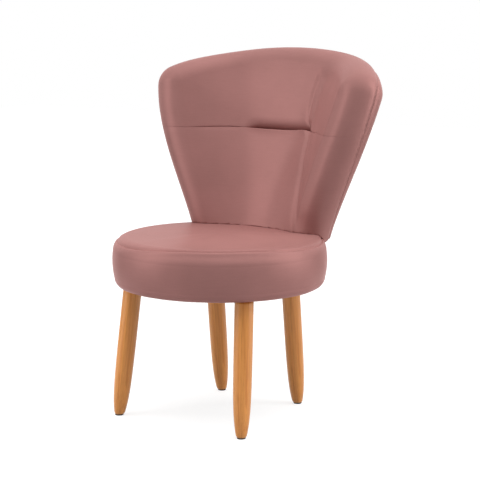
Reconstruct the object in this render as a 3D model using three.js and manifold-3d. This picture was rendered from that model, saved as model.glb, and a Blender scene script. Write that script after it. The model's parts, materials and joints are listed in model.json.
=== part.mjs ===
// Scallop back chair: a round padded drum seat on four turned legs, with a padded shell back
// that stands on the rear of the seat, spreads like a fan and curls forward at both sides.
// Millimetres, +Z up. The chair faces -Y, and left and right are as seen from its front.
// Heights are above the floor. The axis of the seat is x = 0, y = 0 until the last lines,
// which move the origin to the middle of the footprint.
import * as THREE from 'three';
import { mergeVertices } from 'three/addons/utils/BufferGeometryUtils.js';
import Module from 'manifold-3d';

const wasm = await Module();
wasm.setup();

// Clearances shared by every piece
const clearance = 0.3;
const overrun = 3;
const seamGapAngle = 0.8;
const weldDistance = 0.001;

// Seat drum, as the cover's outer skin
const seatRadius = 250;
const seatRimHeight = 424;
const seatThickness = 116;
const seatCrown = 5;
const seatTopRounding = 33;
const seatBottomRounding = 22;
const seatSideBulge = 3;
const seatLowerTaper = 3;
const seatSeamAngle = 7;
const seatSegments = 32;
const crownShares = [0, 0.55, 1];
const topArcAngles = [35, 62, 90];
const bottomArcAngles = [90, 122, 152, 180];
const coverThickness = 1.6;
const coverTurnIn = 9;
const seatWaddingThickness = 7;

// Seat frame
const boardThickness = 18;
const boardVentRadius = 32;
const ringHeightShare = 0.345;
const ringWidth = 46;
const blockWidth = 60;
const blockDepth = 47;
const blockHeightShare = 0.7;
const strapWidth = 60;
const strapThickness = 2;
const strapEndInset = 6;
const strapSpacingShare = 0.48;
const dustCoverThickness = 0.7;
const dustCoverOverlap = 4;

// Legs: where the axis of the right hand legs meets the floor and the underside of the seat,
// as shares of the seat's radius
const legDiameter = 43.3;
const legTipDiameter = 22;
const legTaperReach = 42;
const frontLegFloorShares = [0.7012, -0.6548];
const frontLegTopShares = [0.6332, -0.5116];
const rearLegFloorShares = [0.4508, 0.6616];
const rearLegTopShares = [0.4448, 0.5284];
const legSegments = 14;
const legHeightShares = [0, 0.025, 0.06, 0.11, 0.18, 0.3, 0.5, 1];
const glideRadius = 10;
const glideHeight = 3;
const glideNailRadius = 1.5;
const glideNailLength = 12;
const boltRadius = 4;
const boltDepthInLeg = 42;
const insertRadius = 6;
const insertWall = 1.6;
const insertLength = 34;

// Back: the padded form about a middle surface. Drops and rises are measured from the rim of
// the seat, and insets from its widest radius.
const backRoll = 52;
const backFootDrop = 4;
const backPeakRise = 374;
const backFootInset = 50;
const backRecline = 0.352;
const edgeFootDrop = 9;
const edgeFootInset = 81;
const edgeTopSetback = 28;
const edgeSetbackReach = 353;
const edgeSetbackPower = 4;
const backFootSideInset = 59;
const backSpread = 130;
const backSpreadReach = 411;
const backSpreadPower = 1.2;
const topLineSag = 37;
const cornerDrop = 13;
const cornerPower = 12;
const footBendShare = 0.23;
const topBendShare = 0.67;
const bendSoftnessShare = 0.25;
const slopeStep = 0.5;
const widthPasses = 12;

// Back upholstery: seam, tuck and folds on the front
const seamRise = 213;
const seamEndRise = 7;
const seamHalfRow = 3;
const seamDepth = 4;
const seamReach = 12;
const seamSteps = 24;
const tuckDepth = 12;
const tuckReach = 8;
const tuckHalfWidth = 78;
const tuckEndReach = 14;
const padCrown = 4;
const foldDepth = 2;
const foldReach = 17;
const leftFoldShare = 0.3;
const foldShares = [[0.48, 0.47, 0.44], [0.6, 0.83, 0.88]];
const lowerRowShares = [0, 0.36, 0.7, 0.92, 1];
const upperRowShares = [0, 0.1, 0.35, 0.62, 0.84, 1];
const halfColumnShares = [0, 0.18, 0.31, 0.43, 0.55, 0.67, 0.79, 0.9, 1];
const frontRingAngles = [28, 54, 80, 102];
const rearRingAngles = [140, 161];
const edgeSeamAngle = 122;
const foamSlack = 1.3;
const foamWrapAngle = 117;
const foamBackAngle = 119;

// Back frame
const shellThickness = 10;
const uprightWidth = 36;
const uprightThickness = 18;
const uprightSpacing = 120;
const uprightTurnAngle = 14;
const uprightSetback = 15;
const uprightTopRise = 182;
const stripThickness = 1;
const stripHalfWidth = 160;

// Fasteners
const screwSegments = 6;
const screwHeadRadius = 4;
const screwHeadHeight = 2.5;
const screwShankRadius = 2;
const frameScrewLength = 36;
const shellScrewLength = 24;
const lagHeadRadius = 6.5;
const lagHeadHeight = 5;
const lagShankRadius = 3.5;
const lagLength = 44;
const lagHeightShares = { lower: 0.27, upper: 0.73 };
const shellScrewShares = { lower: 0.15, upper: 0.85 };

// Heights and radii that follow from the sizes above
const seatBottomHeight = seatRimHeight - seatThickness;
const backFootHeight = seatRimHeight - backFootDrop;
const edgeFootHeight = seatRimHeight - edgeFootDrop;
const backPeakHeight = seatRimHeight + backPeakRise;
const seamHeight = seatRimHeight + seamRise;
const uprightTopHeight = seatRimHeight + uprightTopRise;
const backFootDepth = seatRadius - backFootInset;
const edgeFootDepth = seatRadius - edgeFootInset;
const backFootHalfWidth = seatRadius - backFootSideInset;
const topArcRadius = seatRadius - seatTopRounding;
const topArcHeight = seatRimHeight - seatTopRounding;
const bottomArcRadius = seatRadius - seatLowerTaper - seatBottomRounding;
const bottomArcHeight = seatBottomHeight + seatBottomRounding;
const turnInRadius = bottomArcRadius - coverTurnIn;
const coreInset = coverThickness + clearance + seatWaddingThickness + clearance;
const frameRadius = seatRadius - seatLowerTaper - coreInset;
const coreRounding = seatTopRounding - coreInset;
const boardBottom = seatBottomHeight + coverThickness + clearance;
const boardTop = boardBottom + boardThickness;
const ringHeight = seatThickness * ringHeightShare;
const blockHeight = ringHeight * blockHeightShare;
const strapSpacing = seatRadius * strapSpacingShare;
const ringBottom = boardTop + clearance;
const ringTop = ringBottom + ringHeight;
const ringInnerRadius = frameRadius - ringWidth;
const acrossStrapBottom = ringTop + clearance;
const longStrapBottom = acrossStrapBottom + strapThickness + clearance;
const longStrapTop = longStrapBottom + strapThickness;
const foamBottom = longStrapTop + clearance;
const dustCoverTop = seatBottomHeight - clearance;
const dustCoverBottom = dustCoverTop - dustCoverThickness;
const legTop = dustCoverBottom - clearance;
const shellFace = shellThickness / 2;
const coverInner = backRoll - coverThickness;
const foamOuter = coverInner - foamSlack;

const degrees = THREE.MathUtils.degToRad;
const mix = THREE.MathUtils.lerp;
const vector = (x, y, z) => new THREE.Vector3(x, y, z);
const upward = vector(0, 0, 1);

// Solids
function solidFrom(geometry) {
  const bare = geometry.clone();
  bare.deleteAttribute('normal');
  bare.deleteAttribute('uv');
  const merged = mergeVertices(bare, weldDistance);
  const points = merged.attributes.position;
  const corners = [vector(), vector(), vector()];
  const triangles = [];
  let volume = 0;
  for (let i = 0; i < merged.index.count; i += 3) {
    const triangle = [0, 1, 2].map((k) => merged.index.getX(i + k));
    if (new Set(triangle).size < 3) continue;
    triangle.forEach((index, k) => corners[k].fromBufferAttribute(points, index));
    volume += corners[0].dot(corners[1].clone().cross(corners[2]));
    triangles.push(triangle);
  }
  if (volume < 0) triangles.forEach((triangle) => triangle.reverse());
  return new wasm.Manifold(new wasm.Mesh({
    numProp: 3,
    vertProperties: Float32Array.from(points.array),
    triVerts: Uint32Array.from(triangles.flat()),
  }));
}

function geometryFrom(solid) {
  const mesh = solid.getMesh();
  const geometry = new THREE.BufferGeometry();
  geometry.setAttribute('position', new THREE.BufferAttribute(mesh.vertProperties, mesh.numProp));
  geometry.setIndex(new THREE.BufferAttribute(mesh.triVerts, 1));
  geometry.computeVertexNormals();
  return geometry;
}

// The outline is a list of [radius, height] pairs, turned about the Z axis
function turned(outline, segments) {
  const points = outline.map(([radius, height]) => new THREE.Vector2(radius, height));
  const geometry = new THREE.LatheGeometry(points, segments);
  geometry.rotateX(Math.PI / 2);
  return solidFrom(geometry);
}

function ringTurned(outer, inner, segments) {
  return turned([...outer, ...[...inner].reverse(), outer[0]], segments);
}

function boxed(width, depth, height, centre) {
  const geometry = new THREE.BoxGeometry(width, depth, height);
  geometry.translate(centre.x, centre.y, centre.z);
  return solidFrom(geometry);
}

function placed(solid, matrix) {
  return solid.transform(matrix.elements);
}

// A frame whose Z axis lies along the given direction
function frameAlong(origin, direction, side = vector(1, 0, 0)) {
  const z = direction.clone().normalize();
  const y = z.clone().cross(side).normalize();
  const x = y.clone().cross(z);
  return new THREE.Matrix4().makeBasis(x, y, z).setPosition(origin);
}

function joined(solids) {
  return solids.reduce((sum, solid) => sum.add(solid));
}

function cutBy(solid, cutters) {
  return cutters.reduce((rest, cutter) => rest.subtract(cutter), solid);
}

// The largest body of a solid that a cut may have left in several
function largestOf(solid) {
  const bodies = solid.decompose();
  return bodies.reduce((best, body) => (body.volume() > best.volume() ? body : best));
}

// Seat outlines
function crownPoints(flatRadius, inset) {
  return crownShares.map((share) => [
    flatRadius * share,
    seatRimHeight + seatCrown * (1 - share * share) - inset,
  ]);
}

function arcPoints(radius, height, rounding, angles) {
  return angles.map((angle) => [
    radius + rounding * Math.sin(degrees(angle)),
    height + rounding * Math.cos(degrees(angle)),
  ]);
}

function seatTopOutline(inset) {
  const rounding = seatTopRounding - inset;
  const seam = arcPoints(topArcRadius, topArcHeight, rounding, [seatSeamAngle]);
  return [...crownPoints(topArcRadius, inset), ...seam];
}

function seatSideOutline(inset) {
  const middle = (topArcHeight + bottomArcHeight) / 2;
  const top = arcPoints(topArcRadius, topArcHeight, seatTopRounding - inset, topArcAngles);
  return [...top, [seatRadius + seatSideBulge - inset, middle]];
}

function seatBottomOutline(inset) {
  return arcPoints(bottomArcRadius, bottomArcHeight, seatBottomRounding - inset, bottomArcAngles);
}

function coreOutline(inset) {
  const radius = frameRadius - coreRounding;
  const rounding = coreRounding - inset;
  const arc = arcPoints(radius, topArcHeight, rounding, topArcAngles);
  return [...crownPoints(radius, coreInset + inset), ...arc];
}

// The whole drum, grown by the clearance, that the back's pieces are cut by
function seatEnvelope() {
  const outline = [
    ...seatTopOutline(-clearance),
    ...seatSideOutline(-clearance),
    ...seatBottomOutline(-clearance),
    [0, seatBottomHeight - clearance],
  ];
  return turned(outline, seatSegments);
}

// Middle surface of the back
function edgeHalfWidth(height) {
  const rise = Math.min((height - edgeFootHeight) / backSpreadReach, 1);
  const spread = Math.sin((Math.PI / 2) * Math.max(rise, 0) ** backSpreadPower);
  return backFootHalfWidth + backSpread * spread - backRoll;
}

const widestHalf = backFootHalfWidth + backSpread - backRoll;

function centreDepth(height) {
  return backFootDepth + backRecline * (height - seatRimHeight);
}

function edgeDepth(height) {
  const rise = Math.max((height - edgeFootHeight) / edgeSetbackReach, 0);
  return edgeFootDepth + edgeTopSetback * rise ** edgeSetbackPower;
}

// A board bent softly at two lines: flat between them and straight beyond, from 0 to 1
function bendRise(share, bendShare) {
  const reach = (offset) => Math.hypot(offset, bendSoftnessShare);
  const rise = (u) => reach(u - bendShare) + reach(u + bendShare) - 2 * reach(bendShare);
  return rise(share) / rise(1);
}

function middleDepth(x, z) {
  const sag = centreDepth(z) - edgeDepth(z);
  const rise = (z - backFootHeight) / (backPeakHeight - backFootHeight);
  const bendShare = mix(footBendShare, topBendShare, rise);
  return centreDepth(z) - sag * bendRise(x / edgeHalfWidth(z), bendShare);
}

function middlePoint(x, z) {
  return vector(x, middleDepth(x, z), z);
}

// Unit normal of the middle surface, pointing to the front
function middleNormal(x, z) {
  const acrossSlope = (middleDepth(x + slopeStep, z) - middleDepth(x - slopeStep, z)) / (2 * slopeStep);
  const upSlope = (middleDepth(x, z + slopeStep) - middleDepth(x, z - slopeStep)) / (2 * slopeStep);
  return vector(acrossSlope, -1, upSlope).normalize();
}

function topLine(x) {
  const share = Math.min(Math.abs(x) / widestHalf, 1);
  return backPeakHeight - topLineSag * share * share - cornerDrop * share ** cornerPower;
}

function seamLine(x) {
  const share = x / widestHalf;
  return seamHeight + seamEndRise * share * share;
}

// Height of a row of the grid at x: the first rows are the lower pad, the rest the upper pad
const rowCount = lowerRowShares.length + upperRowShares.length;

function rowHeight(row, x) {
  if (row < lowerRowShares.length) {
    return mix(backFootHeight, seamLine(x) - seamHalfRow, lowerRowShares[row]);
  }
  const share = upperRowShares[row - lowerRowShares.length];
  return mix(seamLine(x) + seamHalfRow, topLine(x), share);
}

// Where the valley of a fold runs at a height, from its shares of the widest half at the foot,
// the seam and the top
function foldCentre(shares, z) {
  const [foot, seam, top] = shares.map((share) => share * widestHalf);
  if (z < seamHeight) return mix(foot, seam, (z - backFootHeight) / (seamHeight - backFootHeight));
  return mix(seam, top, (z - seamHeight) / (backPeakHeight - seamHeight));
}

const hollow = (distance, reach) => Math.exp(-((distance / reach) ** 2));

// How far the front stands out from the plain rolled form at a grid point
function frontRelief(share, row, x, z) {
  const lower = row < lowerRowShares.length;
  const rowShare = lower ? lowerRowShares[row] : upperRowShares[row - lowerRowShares.length];
  const crown = padCrown * 4 * rowShare * (1 - rowShare) * (1 - share ** 4);
  const fromSeam = z - seamLine(x);
  const pastTuck = Math.max(Math.abs(x) - tuckHalfWidth, 0);
  const seam = seamDepth * hollow(fromSeam, seamReach);
  const tuck = tuckDepth * hollow(fromSeam, tuckReach) * hollow(pastTuck, tuckEndReach);
  const weight = x > 0 ? 1 : leftFoldShare;
  const fade = 1 - share ** 8;
  const valleys = foldShares.map((shares) => hollow(Math.abs(x) - foldCentre(shares, z), foldReach));
  return crown - seam - tuck - foldDepth * weight * fade * Math.max(...valleys);
}

// The grid: a point, its normal and its relief at each row and column
const columnShares = [...halfColumnShares.slice(1).reverse().map((share) => -share), ...halfColumnShares];
const columnCount = columnShares.length - 1;
const grid = [];
for (let row = 0; row < rowCount; row += 1) {
  grid.push([]);
  for (let column = 0; column <= columnCount; column += 1) {
    const share = columnShares[column];
    let x = share * widestHalf;
    for (let pass = 0; pass < widthPasses; pass += 1) {
      x = share * edgeHalfWidth(rowHeight(row, x));
    }
    const z = rowHeight(row, x);
    grid[row].push({
      point: middlePoint(x, z),
      normal: middleNormal(x, z),
      relief: frontRelief(share, row, x, z),
    });
  }
}

// The edge of the grid as one loop: foot, right side, top, left side
const lastRow = rowCount - 1;
const loop = [];
for (let column = 0; column < columnCount; column += 1) loop.push([0, column]);
for (let row = 0; row < lastRow; row += 1) loop.push([row, columnCount]);
for (let column = columnCount; column > 0; column -= 1) loop.push([lastRow, column]);
for (let row = lastRow; row > 0; row -= 1) loop.push([row, 0]);

const rim = loop.map(([row, column], index) => {
  const station = grid[row][column];
  const [nextRow, nextColumn] = loop[(index + 1) % loop.length];
  const [lastLoopRow, lastColumn] = loop[(index + loop.length - 1) % loop.length];
  const along = grid[nextRow][nextColumn].point.clone().sub(grid[lastLoopRow][lastColumn].point);
  const outward = station.normal.clone().cross(along).normalize().negate();
  return { ...station, outward };
});

// Surfaces of the back, gathered as one triangle list with shared points
class Skin {
  constructor() {
    this.positions = [];
    this.indices = [];
  }

  addRow(points) {
    const first = this.positions.length / 3;
    points.forEach((point) => this.positions.push(point.x, point.y, point.z));
    return points.map((_, index) => first + index);
  }

  // A strip between two rows, always with the same diagonal, so that skins a little apart
  // never cross
  addStrip(one, other, closed, flipped) {
    const count = closed ? one.length : one.length - 1;
    for (let i = 0; i < count; i += 1) {
      const next = (i + 1) % one.length;
      const triangles = flipped
        ? [one[i], other[next], one[next], one[i], other[i], other[next]]
        : [one[i], one[next], other[next], one[i], other[next], other[i]];
      this.indices.push(...triangles);
    }
  }

  // The grid at a distance in front of the middle surface, and its edge as a loop of indices
  addSheet(distance, reliefShare, flipped) {
    const rows = grid.map((stations) => this.addRow(stations.map(({ point, normal, relief }) => (
      point.clone().addScaledVector(normal, distance + relief * reliefShare)
    ))));
    for (let row = 0; row < lastRow; row += 1) {
      this.addStrip(rows[row], rows[row + 1], false, flipped);
    }
    return loop.map(([row, column]) => rows[row][column]);
  }

  // A loop that lies outward of the grid's edge and in front of it
  addLoop(outwardDistance, frontDistance, reliefShare = 0) {
    return this.addRow(rim.map(({ point, normal, outward, relief }) => (
      point.clone()
        .addScaledVector(outward, outwardDistance)
        .addScaledVector(normal, frontDistance + relief * reliefShare)
    )));
  }

  addArc(radius, angle, reliefShare = 0) {
    const turn = degrees(angle);
    return this.addLoop(radius * Math.sin(turn), radius * Math.cos(turn), reliefShare * Math.cos(turn));
  }

  solid() {
    const geometry = new THREE.BufferGeometry();
    geometry.setAttribute('position', new THREE.Float32BufferAttribute(this.positions, 3));
    geometry.setIndex(this.indices);
    return solidFrom(geometry);
  }
}

function addLoops(skin, loops, flipped) {
  loops.slice(1).forEach((next, index) => skin.addStrip(loops[index], next, true, flipped));
}

// The front face and the roll up to the last angle. An inward skin faces the pad's inside.
function addFront(skin, radius, lastAngle, inward) {
  const edge = skin.addSheet(radius, 1, inward);
  const arcs = [...frontRingAngles, lastAngle].map((angle) => skin.addArc(radius, angle, Number(angle < 90)));
  addLoops(skin, [edge, ...arcs], !inward);
  return arcs.at(-1);
}

// The roll from the first angle on and the rear face
function addRear(skin, radius, firstAngle, inward) {
  const edge = skin.addSheet(-radius, 0, !inward);
  const arcs = [firstAngle, ...rearRingAngles].map((angle) => skin.addArc(radius, angle));
  addLoops(skin, [...arcs, edge], !inward);
  return arcs[0];
}

function frontCoverSolid() {
  const skin = new Skin();
  const outer = addFront(skin, backRoll, edgeSeamAngle - seamGapAngle, false);
  const inner = addFront(skin, coverInner, edgeSeamAngle - seamGapAngle, true);
  addLoops(skin, [outer, inner], true);
  return skin.solid();
}

function rearCoverSolid() {
  const skin = new Skin();
  const outer = addRear(skin, backRoll, edgeSeamAngle, false);
  const inner = addRear(skin, coverInner, edgeSeamAngle, true);
  addLoops(skin, [inner, outer], true);
  return skin.solid();
}

// The front foam wraps the shell's edge with a heel behind it
function frontFoamSolid() {
  const skin = new Skin();
  const outer = addFront(skin, foamOuter, foamWrapAngle, false);
  const heel = skin.addLoop(clearance, -shellFace);
  const lip = skin.addLoop(clearance, shellFace + clearance);
  const inner = skin.addSheet(shellFace + clearance, 0, true);
  addLoops(skin, [heel, outer], false);
  addLoops(skin, [lip, heel], false);
  addLoops(skin, [lip, inner], true);
  return skin.solid();
}

function rearFoamSolid() {
  const skin = new Skin();
  const inner = skin.addSheet(-shellFace - clearance, 0, false);
  const outer = addRear(skin, foamOuter, foamBackAngle, false);
  addLoops(skin, [inner, outer], true);
  return skin.solid();
}

function shellSolid(front, rear) {
  const skin = new Skin();
  const near = skin.addSheet(front, 0, false);
  const far = skin.addSheet(-rear, 0, true);
  addLoops(skin, [near, far], true);
  return skin.solid();
}

// Height on the front face of the foot that the seam line has on the middle surface
function seamFaceHeight(x) {
  return seamLine(x) + backRoll * middleNormal(x, seamLine(x)).z;
}

// Stations across the back at which the seam's height is taken, the same ones for every slab
const slabHalfWidth = widestHalf + 2 * backRoll;
const slabReach = backPeakHeight - backFootHeight;
const seamStations = [...Array(seamSteps + 1).keys()].map((step) => (
  mix(-slabHalfWidth, slabHalfWidth, step / seamSteps)
));

// A slab seen from the front that ends at the seam line, moved up or down by an offset
function seamSlab(lowOffset, highOffset, halfWidth) {
  const shape = new THREE.Shape();
  const stations = seamStations.filter((x) => Math.abs(x) < halfWidth + weldDistance);
  const low = stations.map((x) => new THREE.Vector2(x, seamFaceHeight(x) + lowOffset));
  const high = stations.map((x) => new THREE.Vector2(x, seamFaceHeight(x) + highOffset));
  shape.setFromPoints([...low, ...high.reverse()]);
  const depth = 2 * seatRadius;
  const geometry = new THREE.ExtrudeGeometry(shape, { depth, bevelEnabled: false });
  geometry.rotateX(Math.PI / 2);
  geometry.translate(0, depth, 0);
  return solidFrom(geometry);
}

function abovePart(solid, gap) {
  return largestOf(solid.intersect(seamSlab(gap, slabReach, slabHalfWidth)));
}

function belowPart(solid, gap) {
  return largestOf(solid.intersect(seamSlab(-slabReach, -gap, slabHalfWidth)));
}

// Fasteners: a solid and the cutter that makes its hole. The head is at the top of the local
// Z axis, with its face at zero, and the shank points down.
function screwPair(headRadius, headHeight, shankRadius, length, sunk) {
  const outline = (grow, above) => [
    [0, above],
    [headRadius + grow, above],
    [headRadius + grow, 0],
    [sunk ? shankRadius + grow : headRadius + grow, -headHeight - grow],
    [shankRadius + grow, -headHeight - grow],
    [shankRadius + grow, -length + headRadius],
    [0, -length - grow],
  ];
  return {
    solid: turned(outline(0, 0), screwSegments),
    cutter: turned(outline(clearance, overrun), screwSegments),
  };
}

// One fastener at each named place: its solid, and the cutter that makes its hole
function fastened(pair, places) {
  return places.map(({ name, matrix }) => ({
    name,
    solid: placed(pair.solid, matrix),
    cutter: placed(pair.cutter, matrix),
  }));
}

const cuttersOf = (fasteners) => fasteners.map(({ cutter }) => cutter);

// Legs
const legSides = [
  { name: 'front_left', side: -1, floor: frontLegFloorShares, top: frontLegTopShares },
  { name: 'front_right', side: 1, floor: frontLegFloorShares, top: frontLegTopShares },
  { name: 'rear_left', side: -1, floor: rearLegFloorShares, top: rearLegTopShares },
  { name: 'rear_right', side: 1, floor: rearLegFloorShares, top: rearLegTopShares },
];

const legs = legSides.map(({ name, side, floor, top }) => {
  const foot = vector(side * floor[0], floor[1], 0).multiplyScalar(seatRadius);
  const head = vector(side * top[0], top[1], 0).multiplyScalar(seatRadius).setZ(seatBottomHeight);
  const axis = head.clone().sub(foot).normalize();
  const at = (height) => foot.clone().addScaledVector(axis, height / axis.z);
  return { name, foot, head, axis, at };
});

function legDiameterAt(height) {
  return legDiameter - (legDiameter - legTipDiameter) * Math.exp(-height / legTaperReach);
}

const levelCut = 2 * legDiameter;

function legSolid({ foot, axis, at }) {
  const length = seatBottomHeight / axis.z + legDiameter;
  const outline = legHeightShares.map((share) => [legDiameterAt(share * length) / 2, share * length]);
  const body = turned([[0, -overrun], [legTipDiameter / 2, -overrun], ...outline, [0, length]], legSegments);
  const rough = placed(body, frameAlong(foot, axis));
  const above = boxed(levelCut, levelCut, levelCut, at(legTop).setZ(legTop + levelCut / 2));
  const below = boxed(levelCut, levelCut, levelCut, at(0).setZ(glideHeight + clearance - levelCut / 2));
  const nail = turned([
    [0, 0],
    [glideNailRadius + clearance, 0],
    [glideNailRadius + clearance, glideHeight + glideNailLength + clearance],
    [0, glideHeight + glideNailLength + clearance],
  ], screwSegments);
  const boltHole = turned([
    [0, -boltDepthInLeg - clearance],
    [boltRadius + clearance, -boltDepthInLeg - clearance],
    [boltRadius + clearance, overrun],
    [0, overrun],
  ], screwSegments);
  return cutBy(rough, [
    above,
    below,
    placed(nail, new THREE.Matrix4().setPosition(foot)),
    placed(boltHole, frameAlong(at(legTop), axis)),
  ]);
}

function glideSolid({ foot }) {
  const chamfer = glideHeight / 3;
  const outline = [
    [0, 0],
    [glideRadius - chamfer, 0],
    [glideRadius, chamfer],
    [glideRadius, glideHeight],
    [glideNailRadius, glideHeight],
    [glideNailRadius, glideHeight + glideNailLength - glideNailRadius],
    [0, glideHeight + glideNailLength],
  ];
  return placed(turned(outline, 2 * screwSegments), new THREE.Matrix4().setPosition(foot));
}

const boltTop = boardBottom + insertLength - legTop;

function boltSolid({ axis, at }) {
  const outline = [
    [0, -boltDepthInLeg],
    [boltRadius, -boltDepthInLeg + boltRadius],
    [boltRadius, boltTop - clearance],
    [0, boltTop - clearance],
  ];
  return placed(turned(outline, screwSegments), frameAlong(at(legTop), axis));
}

function boltCutter({ axis, at }) {
  const radius = boltRadius + clearance;
  const outline = [[0, -overrun], [radius, -overrun], [radius, boltTop], [0, boltTop]];
  return placed(turned(outline, screwSegments), frameAlong(at(legTop), axis));
}

const insertInner = insertRadius - insertWall;

function insertSolid({ axis, at }) {
  const outer = [[insertRadius, 0], [insertRadius, insertLength]];
  const inner = [[insertInner, 0], [insertInner, insertLength]];
  return placed(ringTurned(outer, inner, screwSegments), frameAlong(at(boardBottom + clearance), axis));
}

function insertCutter({ axis, at }) {
  const radius = insertRadius + clearance;
  const reach = insertLength + clearance;
  const outline = [[0, -overrun], [radius, -overrun], [radius, reach], [0, reach]];
  return placed(turned(outline, screwSegments), frameAlong(at(boardBottom + clearance), axis));
}

// Uprights: straight bars that stand inside the seat frame and lean back behind the shell
const uprights = [['left', -1], ['right', 1]].map(([name, side]) => {
  const x = side * (uprightSpacing / 2);
  const slope = backRecline;
  const reference = middleDepth(uprightSpacing / 2, backFootHeight) + uprightSetback;
  const foot = vector(x, reference - slope * (backFootHeight - ringBottom), ringBottom);
  const axis = vector(0, slope, 1).normalize();
  const turn = degrees(side * uprightTurnAngle);
  const flat = vector(0, 1, -slope).normalize();
  const rearward = flat.clone().multiplyScalar(Math.cos(turn)).add(vector(Math.sin(turn), 0, 0));
  const across = rearward.clone().normalize().cross(axis).normalize();
  const matrix = new THREE.Matrix4()
    .makeBasis(across, axis.clone().cross(across), axis)
    .setPosition(foot);
  const at = (height) => foot.clone().addScaledVector(axis, (height - foot.z) / axis.z);
  return { name, foot, axis, matrix, rearward: rearward.normalize(), at };
});

function uprightBar({ matrix, axis, foot }, grow) {
  const start = -uprightWidth;
  const end = (uprightTopHeight - ringBottom) / axis.z;
  const bar = boxed(
    uprightWidth + 2 * grow,
    uprightThickness + 2 * grow,
    end - start + grow,
    vector(0, 0, (start + end + grow) / 2),
  );
  const floor = boxed(
    2 * uprightWidth,
    2 * uprightWidth,
    2 * uprightWidth,
    vector(0, 0, -uprightWidth),
  );
  const level = new THREE.Matrix4().setPosition(foot.clone().setZ(foot.z - grow));
  return placed(bar, matrix).subtract(placed(floor, level));
}

// Fastener places
const lagScrews = fastened(
  screwPair(lagHeadRadius, lagHeadHeight, lagShankRadius, lagLength, false),
  uprights.flatMap(({ name, at, rearward }) => Object.entries(lagHeightShares).map(([place, share]) => {
    const height = mix(ringBottom, ringTop, share);
    const face = uprightThickness / 2 + clearance + lagHeadHeight;
    const origin = at(height).addScaledVector(rearward, -face);
    return { name: `${name}_${place}`, matrix: frameAlong(origin, rearward.clone().negate()) };
  })),
);

const shellScrews = fastened(
  screwPair(screwHeadRadius, screwHeadHeight, screwShankRadius, shellScrewLength, true),
  uprights.flatMap(({ name, at, rearward }) => Object.entries(shellScrewShares).map(([place, share]) => {
    const height = mix(seatRimHeight + seatCrown, uprightTopHeight, share);
    const face = uprightSetback + shellFace - screwHeadHeight / 2;
    const origin = at(height).addScaledVector(rearward, -face);
    return { name: `${name}_${place}`, matrix: frameAlong(origin, rearward.clone().negate()) };
  })),
);

const ringScrewRadius = ringInnerRadius + ringWidth / 2;
const ringScrewPlaces = { front: -90, right: 0, rear: 90, left: 180 };
const ringScrews = fastened(
  screwPair(screwHeadRadius, screwHeadHeight, screwShankRadius, frameScrewLength, true),
  Object.entries(ringScrewPlaces).map(([name, angle]) => {
    const x = ringScrewRadius * Math.cos(degrees(angle));
    const y = ringScrewRadius * Math.sin(degrees(angle));
    const origin = vector(x, y, boardBottom + clearance);
    return { name, matrix: frameAlong(origin, upward.clone().negate()) };
  }),
);

// The rear bolts rise inside the ring, so a block glued to its wall holds each of them
const blockFrames = legs.filter(({ name }) => name.startsWith('rear')).map(({ name, at }) => {
  const outward = at(ringBottom).setZ(0).normalize();
  const beside = upward.clone().cross(outward);
  const radius = ringInnerRadius - clearance - blockDepth / 2;
  return { name, outward, beside, centre: outward.clone().multiplyScalar(radius) };
});

// Webbing: three straps across and three lengthwise over them
const strapOffsets = [-strapSpacing, 0, strapSpacing];

function strapSolid(offset, bottom, lengthwise) {
  const reach = frameRadius - strapEndInset;
  const length = 2 * Math.sqrt(reach ** 2 - (Math.abs(offset) + strapWidth / 2) ** 2);
  const centre = bottom + strapThickness / 2;
  return lengthwise
    ? boxed(strapWidth, length, strapThickness, vector(offset, 0, centre))
    : boxed(length, strapWidth, strapThickness, vector(0, offset, centre));
}

// Materials
function material(color, roughness, metalness = 0) {
  return new THREE.MeshStandardMaterial({ color, roughness, metalness });
}

const velvet = material(0xb07f78, 0.85);
const oak = material(0xc4834a, 0.5);
const beech = material(0xd8b98c, 0.7);
const plywood = material(0xc9a777, 0.75);
const foam = material(0xe9dfb6, 0.95);
const wadding = material(0xf0efe9, 0.95);
const webbing = material(0x2f2c2a, 0.9);
const cambric = material(0x1c1b1b, 0.95);
const steel = material(0x9ea1a5, 0.35, 1);
const glideBlack = material(0x141414, 0.6);

const chair = new THREE.Group();

function addPiece(name, solid, look) {
  const mesh = new THREE.Mesh(geometryFrom(solid), look);
  mesh.name = name;
  chair.add(mesh);
}

// Legs, glides and their bolts
legs.forEach((leg) => {
  addPiece(`leg_${leg.name}`, legSolid(leg), oak);
  addPiece(`leg_glide_${leg.name}`, glideSolid(leg), glideBlack);
});
legs.forEach((leg) => {
  addPiece(`hanger_bolt_${leg.name}`, boltSolid(leg), steel);
  addPiece(`threaded_insert_${leg.name}`, insertSolid(leg), steel);
});
const boltCutters = joined(legs.map(boltCutter));
const insertCutters = joined(legs.map(insertCutter));

// Seat frame
const wideUprights = joined(uprights.map((upright) => uprightBar(upright, clearance)));

function boardSolid() {
  const edge = arcPoints(
    bottomArcRadius,
    bottomArcHeight,
    seatBottomRounding - coverThickness - clearance,
    bottomArcAngles,
  ).reverse();
  const [flat, round, high] = edge;
  const share = (frameRadius - round[0]) / (high[0] - round[0]);
  const outer = [
    [flat[0], boardBottom],
    round,
    [frameRadius, mix(round[1], high[1], share)],
    [frameRadius, boardTop],
  ];
  const inner = [[boardVentRadius, boardBottom], [boardVentRadius, boardTop]];
  return cutBy(ringTurned(outer, inner, seatSegments), [insertCutters, ...cuttersOf(ringScrews)]);
}

function ringSolid() {
  const outer = [[frameRadius, ringBottom], [frameRadius, ringTop]];
  const inner = [[ringInnerRadius, ringBottom], [ringInnerRadius, ringTop]];
  return cutBy(ringTurned(outer, inner, seatSegments), [
    wideUprights,
    insertCutters,
    ...cuttersOf(lagScrews),
    ...cuttersOf(ringScrews),
  ]);
}

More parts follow.
